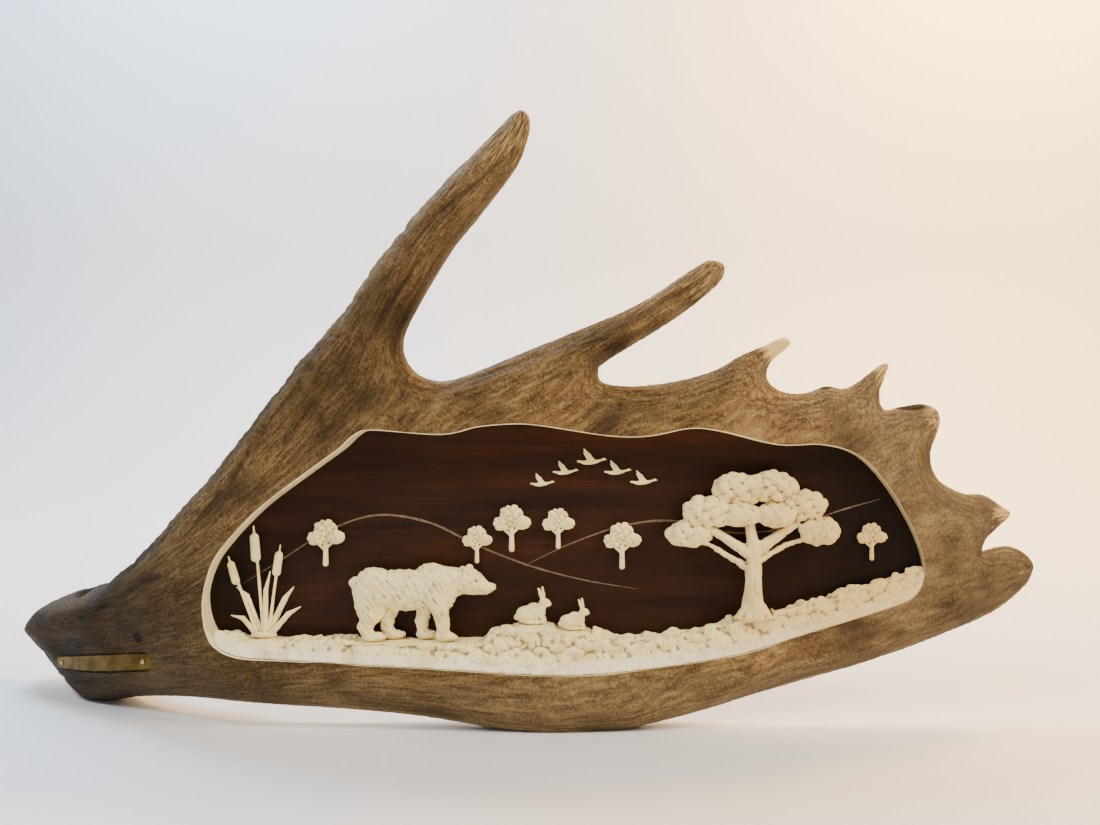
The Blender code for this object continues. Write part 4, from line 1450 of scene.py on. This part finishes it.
Solid = Blob | Limb


def soft_union(first: Array, second: Array, blend: float) -> Array:
    """The smaller of two distances, run together over the blend: their mix less blend times h(1 - h)."""
    h = np.clip(0.5 + 0.5 * (second - first) / blend, 0, 1)
    return second + (first - second) * h - blend * h * (1 - h)


@dataclass
class Figure:
    """A carved figure: solids run together into one skin, then worked with a burr.

    Solids are joined with the blend between them, hollows are taken out, what is below the foot's level is
    cut flat, and carve gives the height of the tool marks at points about the feet. How deep each point lies
    in a hollow is stored for the material, against four tenths of the pitch; the material browns hollows as
    dirt and as painted shade.
    """

    solids: Sequence[Solid]
    pitch: float
    blend: float
    carve: Callable[[Array], Array]
    hollows: Sequence[Solid] = ()
    rounds: int = 2
    foot: float | None = 0.0
    shade_rounds: int = 10

    def skin(self) -> Skin:
        """The figure's skin about its feet, with its tool marks."""
        corners = [solid.reach() for solid in self.solids]
        low = np.min([low for low, _ in corners], axis=0) - 3 * self.pitch
        high = np.max([high for _, high in corners], axis=0) + 3 * self.pitch
        grid = grid_of([np.arange(a, b, self.pitch) for a, b in zip(low, high)])
        values = np.full(grid.shape[:-1], 10 * MM)
        room = 2 * self.blend * MM + 3 * self.pitch
        for solid in (*self.solids, *self.hollows):
            near_low, near_high = solid.reach()
            first = ((near_low - room - low) / self.pitch).astype(int).clip(0)
            last = ((near_high + room - low) / self.pitch).astype(int).clip(0) + 1
            near = tuple(slice(a, b) for a, b in zip(first, last))
            distance = solid.distance(grid[near])
            if solid in self.hollows:
                values[near] = np.maximum(values[near], -distance)
            else:
                values[near] = soft_union(values[near], distance, self.blend * MM)
        if self.foot is not None:
            values = np.maximum(values, self.foot * MM - grid[..., 2])
        skin = Skin.of_field(values, low, self.pitch).smoothed(self.rounds)
        heights = self.carve(skin.points)
        if self.foot is not None:
            heights *= eased_step(skin.points[:, 2], self.foot * MM, (self.foot + 2) * MM)
        return skin.raised(heights)

    def build(self, name: str, node: str, finish: Material, scale: float = 1.0) -> Object:
        """Makes the figure where its CAD node stands, with the same middle and the same foot.

        Args:
            name: The object's name.
            node: The CAD node that it stands for.
            finish: Its material.
            scale: Its size, against the solids as given.

        Returns:
            The figure.
        """
        skin = self.skin()
        points = skin.points * scale
        low, high = (np.array(corner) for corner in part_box(node))
        middle = 0.5 * (points.min(axis=0) + points.max(axis=0))
        shift = 0.5 * (low + high) - middle
        shift[2] = low[2] - points[:, 2].min()
        figure = dress(Skin(points + shift, skin.faces).as_object(name), finish)
        # How deep each point lies in a hollow: the material browns it, partly dirt, partly painted shade.
        set_attribute(figure, "hollow", skin.sunk(self.shade_rounds) / (0.4 * self.pitch))
        set_attribute(figure, "waxed", np.ones(len(points)))
        register(figure, "carved_bone", node)
        return figure


def fur_marks(points: Array) -> Array:
    """Short strokes forward and down, about 0.5 mm high: noise nearly four times longer that way."""
    x, y, z = points.T
    strokes = np.stack([0.8 * x + 0.6 * z, y, 0.8 * z - 0.6 * x], axis=1)
    return 0.5 * MM * layered_noise(in_cells(strokes, 1.5, 2.5, 5.5), 2, 31)


def hare_marks(points: Array) -> Array:
    """The bear's strokes at about half their size and 0.4 of their height."""
    return 0.4 * fur_marks(points * 1.9)


BEAR = Figure(
    solids=(
        Blob((-2, 0, 34), (28, 8, 14)), Blob((-22, 0, 34), (15, 8, 15.5)),
        Blob((17, 0, 40), (13, 7.4, 12.4)), Blob((22, 0, 32), (12, 7.4, 13)),
        Limb((25, 0, 39), (40, 0, 40), 11, 8.6, 0.7),
        Blob((44, 0, 40), (9.4, 6.0, 8.2), 8), Limb((49, 0, 37.5), (57, 0, 35.6), 4.7, 3.1, 0.85),
        Limb((46, 0, 34.5), (54, 0, 33), 3.4, 2.2, 0.85), Blob((59, 0, 36.8), (1.9, 1.9, 1.5)),
        Blob((38.5, -4, 48.2), (2.7, 1.5, 3.1)), Blob((42.5, 4, 48.2), (2.7, 1.5, 3.1)),
        Blob((-36, 0, 39), (3, 2.5, 3.6), 20),
        Limb((21, -3, 31), (25, -3, 13), 7.0, 4.4, 0.8), Limb((25, -3, 13), (25.4, -3.3, 4), 4.3, 4.1, 0.9),
        Blob((28, -3.5, 3), (7.4, 4, 3)), Limb((14, 3, 29), (10, 3, 12), 6.2, 4.2, 0.8),
        Limb((10, 3, 12), (11, 3.3, 4), 4.1, 3.9, 0.9), Blob((13.6, 3.5, 3), (7.2, 3.9, 3)),
        Blob((-24, -3, 25), (10.5, 5, 13)), Limb((-23, -3, 18), (-28, -3, 10), 6.4, 4.2, 0.8),
        Limb((-28, -3, 10), (-25, -3.2, 4), 4.2, 3.8, 0.9), Blob((-21, -3.5, 3), (8, 4, 3)),
        Blob((-14, 3, 26), (9, 5, 12)), Limb((-13, 3, 18), (-14, 3, 9), 5.8, 4, 0.8),
        Limb((-14, 3, 9), (-12, 3.2, 4), 4, 3.8, 0.9), Blob((-8.4, 3.5, 3), (7.6, 3.9, 3)),
    ),
    pitch=0.62 * MM,
    blend=2.4,
    carve=fur_marks,
    hollows=(
        Blob((48.2, -5.2, 41.2), (0.9, 1.2, 0.9)), Limb((52, -5, 35.0), (58, -4, 34.8), 0.45, 0.35),
        Blob((60.4, -1.2, 37.2), (0.7, 0.6, 0.5)), Blob((38.6, -5.6, 48.4), (1.4, 1.0, 1.9)),
    ),
)

HARE = Figure(
    solids=(
        Blob((-4, 0, 6), (7.2, 4.2, 6.1), 12), Blob((1, 0, 8), (6.2, 3.9, 6.3), 18),
        Blob((5, 0, 8.6), (3.9, 3.2, 5.4)),
        Limb((5.5, 0, 11), (8, 0, 13.5), 3.2, 2.6), Blob((8.4, 0, 14.4), (3.8, 2.5, 3.0), 14),
        Blob((11.2, 0, 13.4), (1.8, 1.6, 1.5)), Limb((7.0, -1.1, 16), (4.4, -1.5, 24), 1.5, 0.9, 0.6),
        Limb((7.8, 1.2, 16), (6.8, 1.5, 24.4), 1.5, 0.9, 0.6),
        Limb((6, -1.6, 6), (7.4, -1.8, 1.5), 1.7, 1.3),
        Limb((6.6, 1.6, 6), (8.4, 1.8, 1.5), 1.7, 1.3), Blob((0.5, -2.6, 1.7), (5.8, 1.7, 1.6)),
        Blob((1.2, 2.6, 1.7), (5.8, 1.7, 1.6)), Blob((-10.4, 0, 4.6), (2.1, 2.0, 2.1)),
    ),
    pitch=0.36 * MM,
    blend=0.9,
    carve=hare_marks,
    hollows=(Blob((9.6, -2.3, 15.0), (0.5, 0.6, 0.5)),),
)


def crown(masses: Sequence[Blob], lumps: int, size: float) -> tuple[Blob, ...]:
    """Leaf masses: each is a smaller core with lumps strewn evenly over it by the golden angle.

    A lump's height on its mass falls in even steps from the top to the bottom, and each lump is turned on
    by 137.5 degrees from the one before.

    Args:
        masses: The masses' outer shapes.
        lumps: How many lumps each has.
        size: A lump's radius in millimetres.

    Returns:
        Cores and lumps.
    """
    solids = []
    step = math.radians(137.5)
    height = 1 - 2 * (np.arange(lumps) + 0.5) / lumps
    ring = np.sqrt(1 - height**2)
    for mass in masses:
        centre, radii = np.array(mass.centre), np.array(mass.radii)
        solids.append(Blob(mass.centre, tuple(0.74 * radii), mass.tilt))
        angle = step * np.arange(lumps) + centre[0]
        spread = np.stack([ring * np.cos(angle), ring * np.sin(angle), height], axis=1)
        spread *= (radii - 0.62 * size).clip(1)
        sizes = size * (0.8 + 0.4 * lattice_numbers(np.round(spread * 7).astype(np.int64), 91))
        for at, radius in zip(centre + spread, sizes):
            solids.append(Blob(tuple(at), (1.15 * radius, min(radius, 0.6 * radii[1]), radius)))
    return tuple(solids)


def leaf_marks(points: Array) -> Array:
    """Leaf lumps on a tree's crown, and bark furrows that run up its stem below the crown."""
    leafy = rise(points[:, 2] + 0.25 * np.abs(points[:, 0]), 54, 62)
    leaves = lump_noise(in_cells(points, 3.0), 41)
    bark = value_noise(in_cells(points, 1.7, 1.7, 12), 47) + 0.5 * value_noise(in_cells(points, 2.5), 48)
    return MM * (leafy * (leaves - 0.6) + (1 - leafy) * 0.5 * bark)


def small_leaf_marks(points: Array) -> Array:
    """Leaf lumps on a small tree's crown, none on its stem."""
    return MM * rise(points[:, 2], 4, 7) * (0.5 * lump_noise(in_cells(points, 1.5), 53) - 0.25)


OAK = Figure(
    solids=(
        Limb((0, 0, -4), (0.4, 0, 18), 8.6, 6.0, 0.8), Limb((-1, -1, 13), (-11, -1, -1), 3.6, 2.6),
        Limb((2, -1, 13), (12, -1, -1), 3.6, 2.6), Limb((0, -2, 12), (-4, -4.5, -1), 3.2, 2.4),
        Limb((1, -2, 12), (5.5, -4.5, -1), 3.2, 2.4), Limb((0, 0, 8), (1, 0, 50), 6.4, 4.8, 0.85),
        Limb((1, 0, 42), (-30, 0, 62), 4.4, 2.2), Limb((1, 0, 45), (30, 0, 65), 4.4, 2.2),
        Limb((1, 0, 46), (-4, 0, 76), 4.4, 2.2), Limb((1, 0, 32), (-24, 0, 47), 2.9, 1.5),
        Limb((-24, 0, 47), (-38, 0, 55), 1.7, 1.2), Limb((1, 0, 38), (22, 0, 50), 2.6, 1.4),
        Limb((22, 0, 50), (42, 0, 56), 1.5, 1.1),
        *crown(
            [
                Blob((-43, 1, 57.5), (13.5, 6, 8.6)), Blob((-31, 0, 72.5), (15, 6.6, 10.2)),
                Blob((-10, 1, 87.5), (16, 7, 10.2)), Blob((14, 0, 89.5), (15, 7, 10.2)),
                Blob((34, 1, 76.5), (15, 6.6, 10.2)), Blob((46, 0, 59.5), (12.6, 6, 8.6)),
                Blob((-8, -1, 71), (12, 6.4, 7.4)), Blob((16, -1, 70.5), (12, 6.4, 7.4)),
            ],
            30, 3.9,
        ),
    ),
    pitch=0.66 * MM,
    blend=1.2,
    carve=leaf_marks,
    hollows=(Blob((0.5, -5.8, 27), (1.5, 1.4, 2.3)),),
)

SMALL_TREE = Figure(
    solids=(
        Limb((0, 0, -1), (0, 0, 12), 1.3, 0.8), Limb((0, 0, 5), (-4.4, 0, 9), 0.6, 0.45),
        Limb((0, 0, 6), (4.4, 0, 10), 0.6, 0.45),
        *crown(
            [
                Blob((0, 0, 14.4), (5.2, 2.0, 4.8)), Blob((-4.2, 0, 10.8), (3.9, 1.8, 2.9)),
                Blob((4.6, 0, 11.4), (3.7, 1.8, 2.8)),
            ],
            22, 1.25,
        ),
    ),
    pitch=0.3 * MM,
    blend=0.5,
    carve=small_leaf_marks,
    foot=None,
)


def reed_marks(points: Array) -> Array:
    """Fine furrows that run up the stems, the leaves and the seed heads."""
    return 0.12 * MM * value_noise(in_cells(points, 0.9, 0.9, 9), 61)


def leaf(start: Triple, bend: Triple, tip: Triple, wide: float, narrow: float) -> tuple[Limb, Limb]:
    """A flat leaf: it tapers from its start to its bend, and on to a point."""
    return Limb(start, bend, wide, narrow, 0.5), Limb(bend, tip, narrow, 0.5, 0.5)


CATTAILS = Figure(
    solids=(
        Blob((0, 0, 1.6), (9, 3.6, 2.4)),
        Limb((0, 0, 1), (-6.2, 0, 70), 1.25, 0.8), Limb((-5.6, 0, 54.5), (-6.6, 0, 68), 3.2, 3.0),
        Limb((-6.6, 0, 68), (-7.2, 0, 76), 0.9, 0.5),
        Limb((3, 0, 1), (10.4, 0, 58), 1.2, 0.8), Limb((8.6, 0, 44.5), (10.2, 0, 56), 2.9, 2.7),
        Limb((10.2, 0, 56), (11.2, 0, 63), 0.8, 0.5),
        Limb((-4, 0, 1), (-23, 0, 51), 1.2, 0.8), Limb((-19.4, 0, 38.5), (-22.6, 0, 49.5), 2.7, 2.5),
        Limb((-22.6, 0, 49.5), (-24.4, 0, 55), 0.8, 0.5),
        *leaf((2, 1, 1), (14, 1, 26), (20, 1, 34), 2.3, 1.9),
        *leaf((-2, 1, 1), (-12, 1, 28), (-19, 1, 34), 2.3, 1.7),
        *leaf((1, -1, 1), (1.5, -1, 32), (4.5, -1, 45), 2.2, 1.6),
        *leaf((4, -1, 1), (17, -1, 16), (25.5, -1, 21), 2.2, 1.8),
        *leaf((-4, -1, 1), (-14, -1, 13), (-22, -1, 15), 2.0, 1.6),
    ),
    pitch=0.42 * MM,
    blend=0.5,
    carve=reed_marks,
    rounds=1,
)


def feather_marks(points: Array) -> Array:
    """Vanes on the wings: a sine across them every 0.95 mm, faded out on the body."""
    x, _, z = points.T
    return 0.09 * MM * rise(z, 2.2, 4) * np.sin((x + 0.45 * z) * 2 * math.pi / (0.95 * MM))


GOOSE = Figure(
    solids=(
        Blob((-0.4, 0, 0.5), (5.6, 0.8, 1.6), -6), Limb((3.6, 0, 0.9), (7.6, 0, 2.1), 1.0, 0.6, 0.7),
        Blob((8.1, 0, 2.35), (1.15, 0.6, 0.85), -10), Limb((8.6, 0, 2.2), (9.9, 0, 2.0), 0.45, 0.2, 0.8),
        Limb((-4.6, 0, 0.5), (-8.1, 0, 0.9), 0.9, 0.7, 0.6),
        Limb((1.2, 0, 1.2), (-1.4, 0, 4.6), 1.5, 1.4, 0.5),
        Limb((-1.4, 0, 4.6), (-4.2, 0, 8.4), 1.4, 0.5, 0.5),
        Limb((-0.6, 0, 1.4), (-4.2, 0, 6.4), 1.4, 0.5, 0.5),
    ),
    pitch=0.22 * MM,
    blend=0.45,
    carve=feather_marks,
    foot=None,
)

# The ground's top edge in millimetres, as (x, z) from left to right.
GROUND_TOP = [
    (-210, 62), (-180, 62), (-150, 58), (-118, 60), (-80, 59), (-45, 57), (-18, 60), (6, 67), (30, 70),
    (56, 65), (80, 60), (110, 60), (140, 65), (175, 74), (205, 80), (235, 88), (262, 97), (310, 108),
]
# Where figures stand, in millimetres: the node, the ground's level there, and half the level stretch.
PADS = [
    ("bear", 59, 44), ("oak_tree", 74, 13), ("cattail_clump", 60, 12), ("hare_1", 70, 12),
    ("hare_2", 66, 12),
]
# Where in the window's outline its lower edge starts. The edge ends at the outline's first point.
FOOT_START = 24


@dataclass
class GroundBank:
    """The carved strip of stony ground along the window's lower edge.

    It is drawn with a flat front and worked, and its front is then set back from the antler's face, by a
    share of the depth to the panel: little at its foot and more above.
    """

    form: AntlerForm
    setback_foot: float = 0.01
    setback_top: float = 0.36
    drawn_front: float = -16 * MM
    pitch: float = 0.74 * MM
    left: float = -196 * MM
    right: float = 297 * MM
    bottom: float = 34 * MM
    top: float = 116 * MM
    unevenness: float = 0.9 * MM
    uneven_cell: float = 7
    stone_count: int = 70
    stone_low: float = 3.5 * MM
    stone_high: float = 10 * MM
    blend: float = 0.8 * MM
    rock: float = 4.4 * MM
    rock_cells: Triple = (9.5, 9, 6.5)
    chip: float = 1.0 * MM
    chip_cells: Triple = (3.0, 4, 4.0)
    stroke: float = 0.55 * MM
    foot_stroke: float = 0.2 * MM
    stroke_cells: Triple = (3.4, 4.0, 4.6)
    stagger: float = 0.12
    shade_rounds: int = 12

    def __post_init__(self) -> None:
        """Works out the bank's outline and its lower edge."""
        self.outline = grown_loop(smooth_curve(WINDOW, 3, closed=True), -GAP)
        self.foot = np.array(sorted(WINDOW[FOOT_START:] + WINDOW[:1])) * MM

    def above_foot(self, x: Array, z: Array) -> Array:
        """How far places are above the window's lower edge."""
        return z - np.interp(x, *self.foot.T)

    def pads(self, x: Array, inset: float) -> list[tuple[float, Array]]:
        """Each pad's level and each x's share in it: one up to the inset from its end, zero 3 mm past it."""
        found = []
        for node, level, half in PADS:
            low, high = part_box(node)
            share = fall(np.abs(x - 0.5 * (low.x + high.x)), half - inset, half + 3)
            found.append((level * MM - GAP, share))
        return found

    def level(self, x: Array) -> Array:
        """The ground's height at each x, with the level stretches that figures stand on."""
        height = np.interp(x, *(np.array(GROUND_TOP).T * MM))
        for level, share in self.pads(x, 4):
            height = height * (1 - share) + level * share
        return height

    def stones(self, grid: Array, ground: Array) -> Array:
        """Runs stones, ellipsoids strewn along the top, together with the ground.

        Args:
            grid: Places in the bank's own depth, (nx, ny, nz, 3).
            ground: The ground's own distance there.

        Returns:
            The distance to both.
        """
        random = np.random.default_rng(17)
        span = self.right - self.left
        for index in range(self.stone_count):
            size = random.uniform(self.stone_low, self.stone_high)
            x = self.left + span * (index + random.uniform(0.0, 1.0)) / self.stone_count
            y = random.uniform(self.drawn_front + 2 * MM, PANEL_FRONT - 4 * MM)
            z = float(self.level(np.array([x]))[0]) - random.uniform(0.25, 1.0) * size
            radii = size * np.array([random.uniform(0.9, 1.7), 1.0, random.uniform(0.6, 1.0)]) / MM
            stone = Blob((x / MM, y / MM, z / MM), tuple(radii), random.uniform(-25, 25))
            near = np.abs(grid[:, 0, 0, 0] - x) < 2.2 * size + 2 * MM
            ground[near] = soft_union(ground[near], stone.distance(grid[near]), self.blend)
        return ground

    def skin(self) -> Skin:
        """The bank's skin as drawn.

        Its field is the larger of the height over the ground, which has the stones run into it, and the
        distances past the window's edge, the front and the back.
        """
        axes = [
            np.arange(self.left, self.right, self.pitch),
            np.arange(self.drawn_front - 3 * self.pitch, PANEL_FRONT + 3 * self.pitch, self.pitch),
            np.arange(self.bottom, self.top, self.pitch),
        ]
        grid = grid_of(axes)
        flat = grid[:, :, 0] * np.array([1, 1, 0])
        rough = self.unevenness * layered_noise(in_cells(flat, self.uneven_cell), 3, 71)
        ground = grid[..., 2] - self.level(axes[0])[:, None, None] - rough[:, :, None]
        values = self.stones(grid, ground)
        past_edge = -signed_distance(grid[:, 0][..., [0, 2]], self.outline)
        past_front, past_back = self.drawn_front - grid[..., 1], grid[..., 1] - (PANEL_FRONT - GAP)
        for past in (past_edge[:, None, :], past_front, past_back):
            values = np.maximum(values, past)
        return Skin.of_field(values, np.array([axis[0] for axis in axes]), self.pitch).smoothed(1)

    def worked(self, skin: Skin) -> tuple[Skin, Array, Array]:
        """Raises rocks, chips and strokes above the foot, and faint strokes on it, but none on the pads.

        Args:
            skin: The bank as drawn.

        Returns:
            The worked skin, how rocky each point is, and how deep it lies in a hollow, browned as dirt and
            painted shade, or in a crevice between rocks, darkened as painted shade. The hollows are measured
            before what stands above the pads is pressed flat.
        """
        points = skin.points
        x, y, z = points.T
        from_edge = signed_distance(points[:, [0, 2]], self.outline)
        free = rise(from_edge, 0.3, 2.5) * rise(PANEL_FRONT - y, 0.5, 3)
        free = free * rise(self.form.inset_at(x, z), 0, 1)
        wander = 1.5 * MM * value_noise(in_cells(points, 9), 75)
        rocky = rise(self.above_foot(x, z) + wander, 5, 8)
        on_pad = np.max([share for _, share in self.pads(x, 1)], axis=0)
        strokes = value_noise(in_cells(points, *self.stroke_cells), 73)
        shift = self.stagger * strokes[:, None]
        rocks = lump_noise(in_cells(points, *self.rock_cells) + shift, 77)
        chips = lump_noise(in_cells(points, *self.chip_cells) + shift, 81)
        heights = self.rock * (rocks - 0.62) + self.stroke * strokes + self.chip * (chips - 0.6)
        heights = rocky * heights + self.foot_stroke * strokes
        skin = skin.raised(heights * free * (1 - on_pad * fall(self.level(x) - z, 0.8, 2.5)))
        # Crevices between the rocks, darkened as painted shade.
        crevice_shade = rocky * free * (1 - eased_step(rocks, 0.15, 0.55))
        hollow = skin.sunk(self.shade_rounds) / (0.6 * self.pitch) + 0.2 * crevice_shade
        x, _, z = skin.points.T
        over = (on_pad > 0.5) & (z > self.level(x))
        skin.points[:, 2] = np.where(over, self.level(x), z)
        return skin, rocky, hollow

    def set_back(self, points: Array) -> Array:
        """Moves the drawn front to where it belongs, and all between it and the panel in proportion."""
        x, y, z = points.T
        face = self.form.middle(x, z) - PALM_Y - self.form.half_thickness(x, z)
        higher = rise(self.above_foot(x, z), 1, 10)
        share = self.setback_foot + (self.setback_top - self.setback_foot) * higher
        front = face + share * (PANEL_FRONT - face)
        squeeze = (PANEL_FRONT - front) / (PANEL_FRONT - self.drawn_front)
        return np.stack([x, PALM_Y + PANEL_FRONT + (y - PANEL_FRONT) * squeeze, z], axis=1)

    def build(self, finish: Material) -> Object:
        """Makes the bank, with its hollows' and crevices' depth (dirt and painted shade) and where it is
        waxed.
        """
        skin, rocky, hollow = self.worked(self.skin())
        bank = dress(Skin(self.set_back(skin.points), skin.faces).as_object("ground_carved"), finish)
        set_attribute(bank, "hollow", hollow)
        set_attribute(bank, "waxed", rocky)
        register(bank, "carved_bone", "ground_bank")
        return bank


@dataclass
class HillLine:
    """Two low hills scratched into the panel: a flat strip carried along each line."""

    lines: Sequence[Sequence[Pair]] = (
        (
            (-176, 96), (-150, 112), (-118, 132), (-84, 143), (-48, 138), (-14, 122), (22, 108), (60, 98),
            (96, 92),
        ),
        ((20, 109), (52, 124), (88, 136), (122, 139), (160, 131), (200, 134), (236, 146), (264, 154)),
    )
    half_width: float = 0.7 * MM
    proud: float = 0.2 * MM
    end_slack: float = 0.02

    def build(self, finish: Material) -> None:
        """Makes each strip: four corners at every step along the line, across it and off the panel."""
        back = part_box("back_panel")[0].y - GAP * 0.1
        for number, line in enumerate(self.lines, 1):
            path = smooth_curve(line, 12, closed=False)
            along = np.gradient(path, axis=0)
            along /= np.linalg.norm(along, axis=1, keepdims=True)
            side = np.stack([-along[:, 1], along[:, 0]], axis=1)
            run = np.linspace(self.end_slack, math.pi - self.end_slack, len(path))
            taper = np.sqrt(np.sin(run).clip(0.05))[:, None]
            wobble = 1 + 0.35 * value_noise(in_cells(path[:, [0, 1, 0]], 4), 83)[:, None]
            reach = self.half_width * taper * wobble * side
            corners = ((-1, 0.0), (1, 0.0), (1, self.proud), (-1, self.proud))
            edges = [np.insert(path + sign * reach, 1, back - depth, axis=1) for sign, depth in corners]
            points = np.stack(edges, axis=1).reshape(-1, 3)
            strip = dress(mesh_object(f"hill_line_{number}", points, tube_faces(len(path), 4)), finish)
            strip.data.shade_flat()
            register(strip, "stained_wood")


@dataclass
class CarvedScene:
    """A generic scene in the window: marsh plants, a bear, two hares, an oak, far trees, geese and hills."""

    form: AntlerForm

    def build(self) -> None:
        """Makes every carving in place of its node."""
        GroundBank(self.form).build(CarvedBone("antler_bone_chiselled", (1.3, 4, 7), 0.4).material())
        finish = CarvedBone("antler_bone_carved", (0.9, 0.9, 0.9), 0.3).material()
        BEAR.build("bear_carved", "bear", finish)
        OAK.build("oak_carved", "oak_tree", finish)
        CATTAILS.build("cattails_carved", "cattail_clump", finish)
        for number, scale in ((1, 1.0), (2, 0.85)):
            HARE.build(f"hare_carved_{number}", f"hare_{number}", finish, scale)
        for number, scale in enumerate((1.5, 1.2, 1.5, 1.3, 1.5, 1.2), 1):
            SMALL_TREE.build(f"small_tree_carved_{number}", f"small_tree_{number}", finish, scale)
        for number, scale in enumerate((1.1, 1.0, 1.0, 0.95, 0.9), 1):
            GOOSE.build(f"goose_carved_{number}", f"goose_{number}", finish, scale)
        HillLine().build(ScratchedLine().material())


# ---- Stage ----


@dataclass(frozen=True)
class SoftBox:
    """A square area light that looks at the object: its place, its size, its power and its tint."""

    name: str
    place: Triple
    size: float
    power: float
    tint: str
    target: Triple = (0.0, -0.05, 0.16)

    def build(self) -> None:
        """Adds the light."""
        light = bpy.data.lights.new(self.name, "AREA")
        light.size = self.size
        light.energy = self.power
        light.color = linear(self.tint)[:3]
        lamp = bpy.data.objects.new(self.name, light)
        lamp.location = self.place
        aim = np.array(self.target) - np.array(self.place)
        lamp.rotation_mode = "QUATERNION"
        lamp.rotation_quaternion = Vector(aim).to_track_quat("-Z", "Y")
        bpy.context.scene.collection.objects.link(lamp)


@dataclass
class Studio:
    """The pale floor, the soft lights and the camera, which stands level in front of the palm."""

    camera_place: Triple = (0.036, PALM_Y - 0.600, 0.214)
    lens_mm: float = 28.8
    sensor_mm: float = 36.0
    floor_half: float = 3.0
    wall_y: float = 1.9
    wall_top: float = 2.6
    cove: float = 0.7
    world: str = "e6eaf2"
    world_strength: float = 0.42
    lights: Sequence[SoftBox] = (
        SoftBox("cool_soft_box", (-0.95, -1.0, 1.75), 0.5, 32, "eef2ff"),
        SoftBox("warm_soft_box", (1.5, -0.75, 1.3), 0.45, 42, "ffe8cc"),
        SoftBox("rim_soft_box", (-0.6, 1.0, 1.4), 0.8, 9, "dfe9ff"),
        SoftBox("wall_soft_box_left", (-1.0, 1.0, 2.4), 0.8, 112, "a0d0ff", (-0.8, 1.9, 0.9)),
        SoftBox("wall_soft_box_right", (1.55, 1.0, 2.2), 0.8, 210, "ffc660", (1.45, 1.9, 0.7)),
    )

    def sweep(self) -> Object:
        """The floor, which turns up into the wall behind by a quarter circle, the same all along X."""
        turn = np.linspace(0, 0.5 * math.pi, 25)
        y = np.concatenate([[-self.floor_half], self.wall_y + self.cove * (np.sin(turn) - 1), [self.wall_y]])
        z = np.concatenate([[0], self.cove * (1 - np.cos(turn)), [self.wall_top]])
        ends = [np.stack([np.full_like(y, x), y, z], axis=1) for x in (self.floor_half, -self.floor_half)]
        return mesh_object("floor", np.concatenate(ends), grid_faces(2, len(y), wraps=False))

    def build(self) -> None:
        """Adds floor, lights, world and camera."""
        floor = dress(self.sweep(), PaleFloor().material())
        for light in self.lights:
            light.build()
        world = bpy.data.worlds.new("studio")
        world.use_nodes = True
        background = world.node_tree.nodes["Background"]
        background.inputs["Color"].default_value = linear(self.world)
        background.inputs["Strength"].default_value = self.world_strength
        bpy.context.scene.world = world
        data = bpy.data.cameras.new("camera")
        data.lens = self.lens_mm
        data.sensor_width = self.sensor_mm
        data.clip_start = 0.01
        camera = bpy.data.objects.new("camera", data)
        camera.location = self.camera_place
        camera.rotation_euler = (math.pi / 2, 0, 0)
        bpy.context.scene.collection.objects.link(camera)
        bpy.context.scene.camera = camera


def dress_panel() -> None:
    """Gives the back panel, whose CAD shape is right, its walnut."""
    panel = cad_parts["back_panel"]
    dress(panel, StainedWalnut().material())


def main() -> None:
    """Builds every sub-assembly in order."""
    logging.basicConfig(level=logging.INFO, format="%(name)s %(message)s")
    form = AntlerForm()
    plate = NamePlate()
    Antler(form).build(plate)
    plate.build()
    dress_panel()
    CarvedScene(form).build()
    Studio().build()


if __name__ == "__main__":
    main()
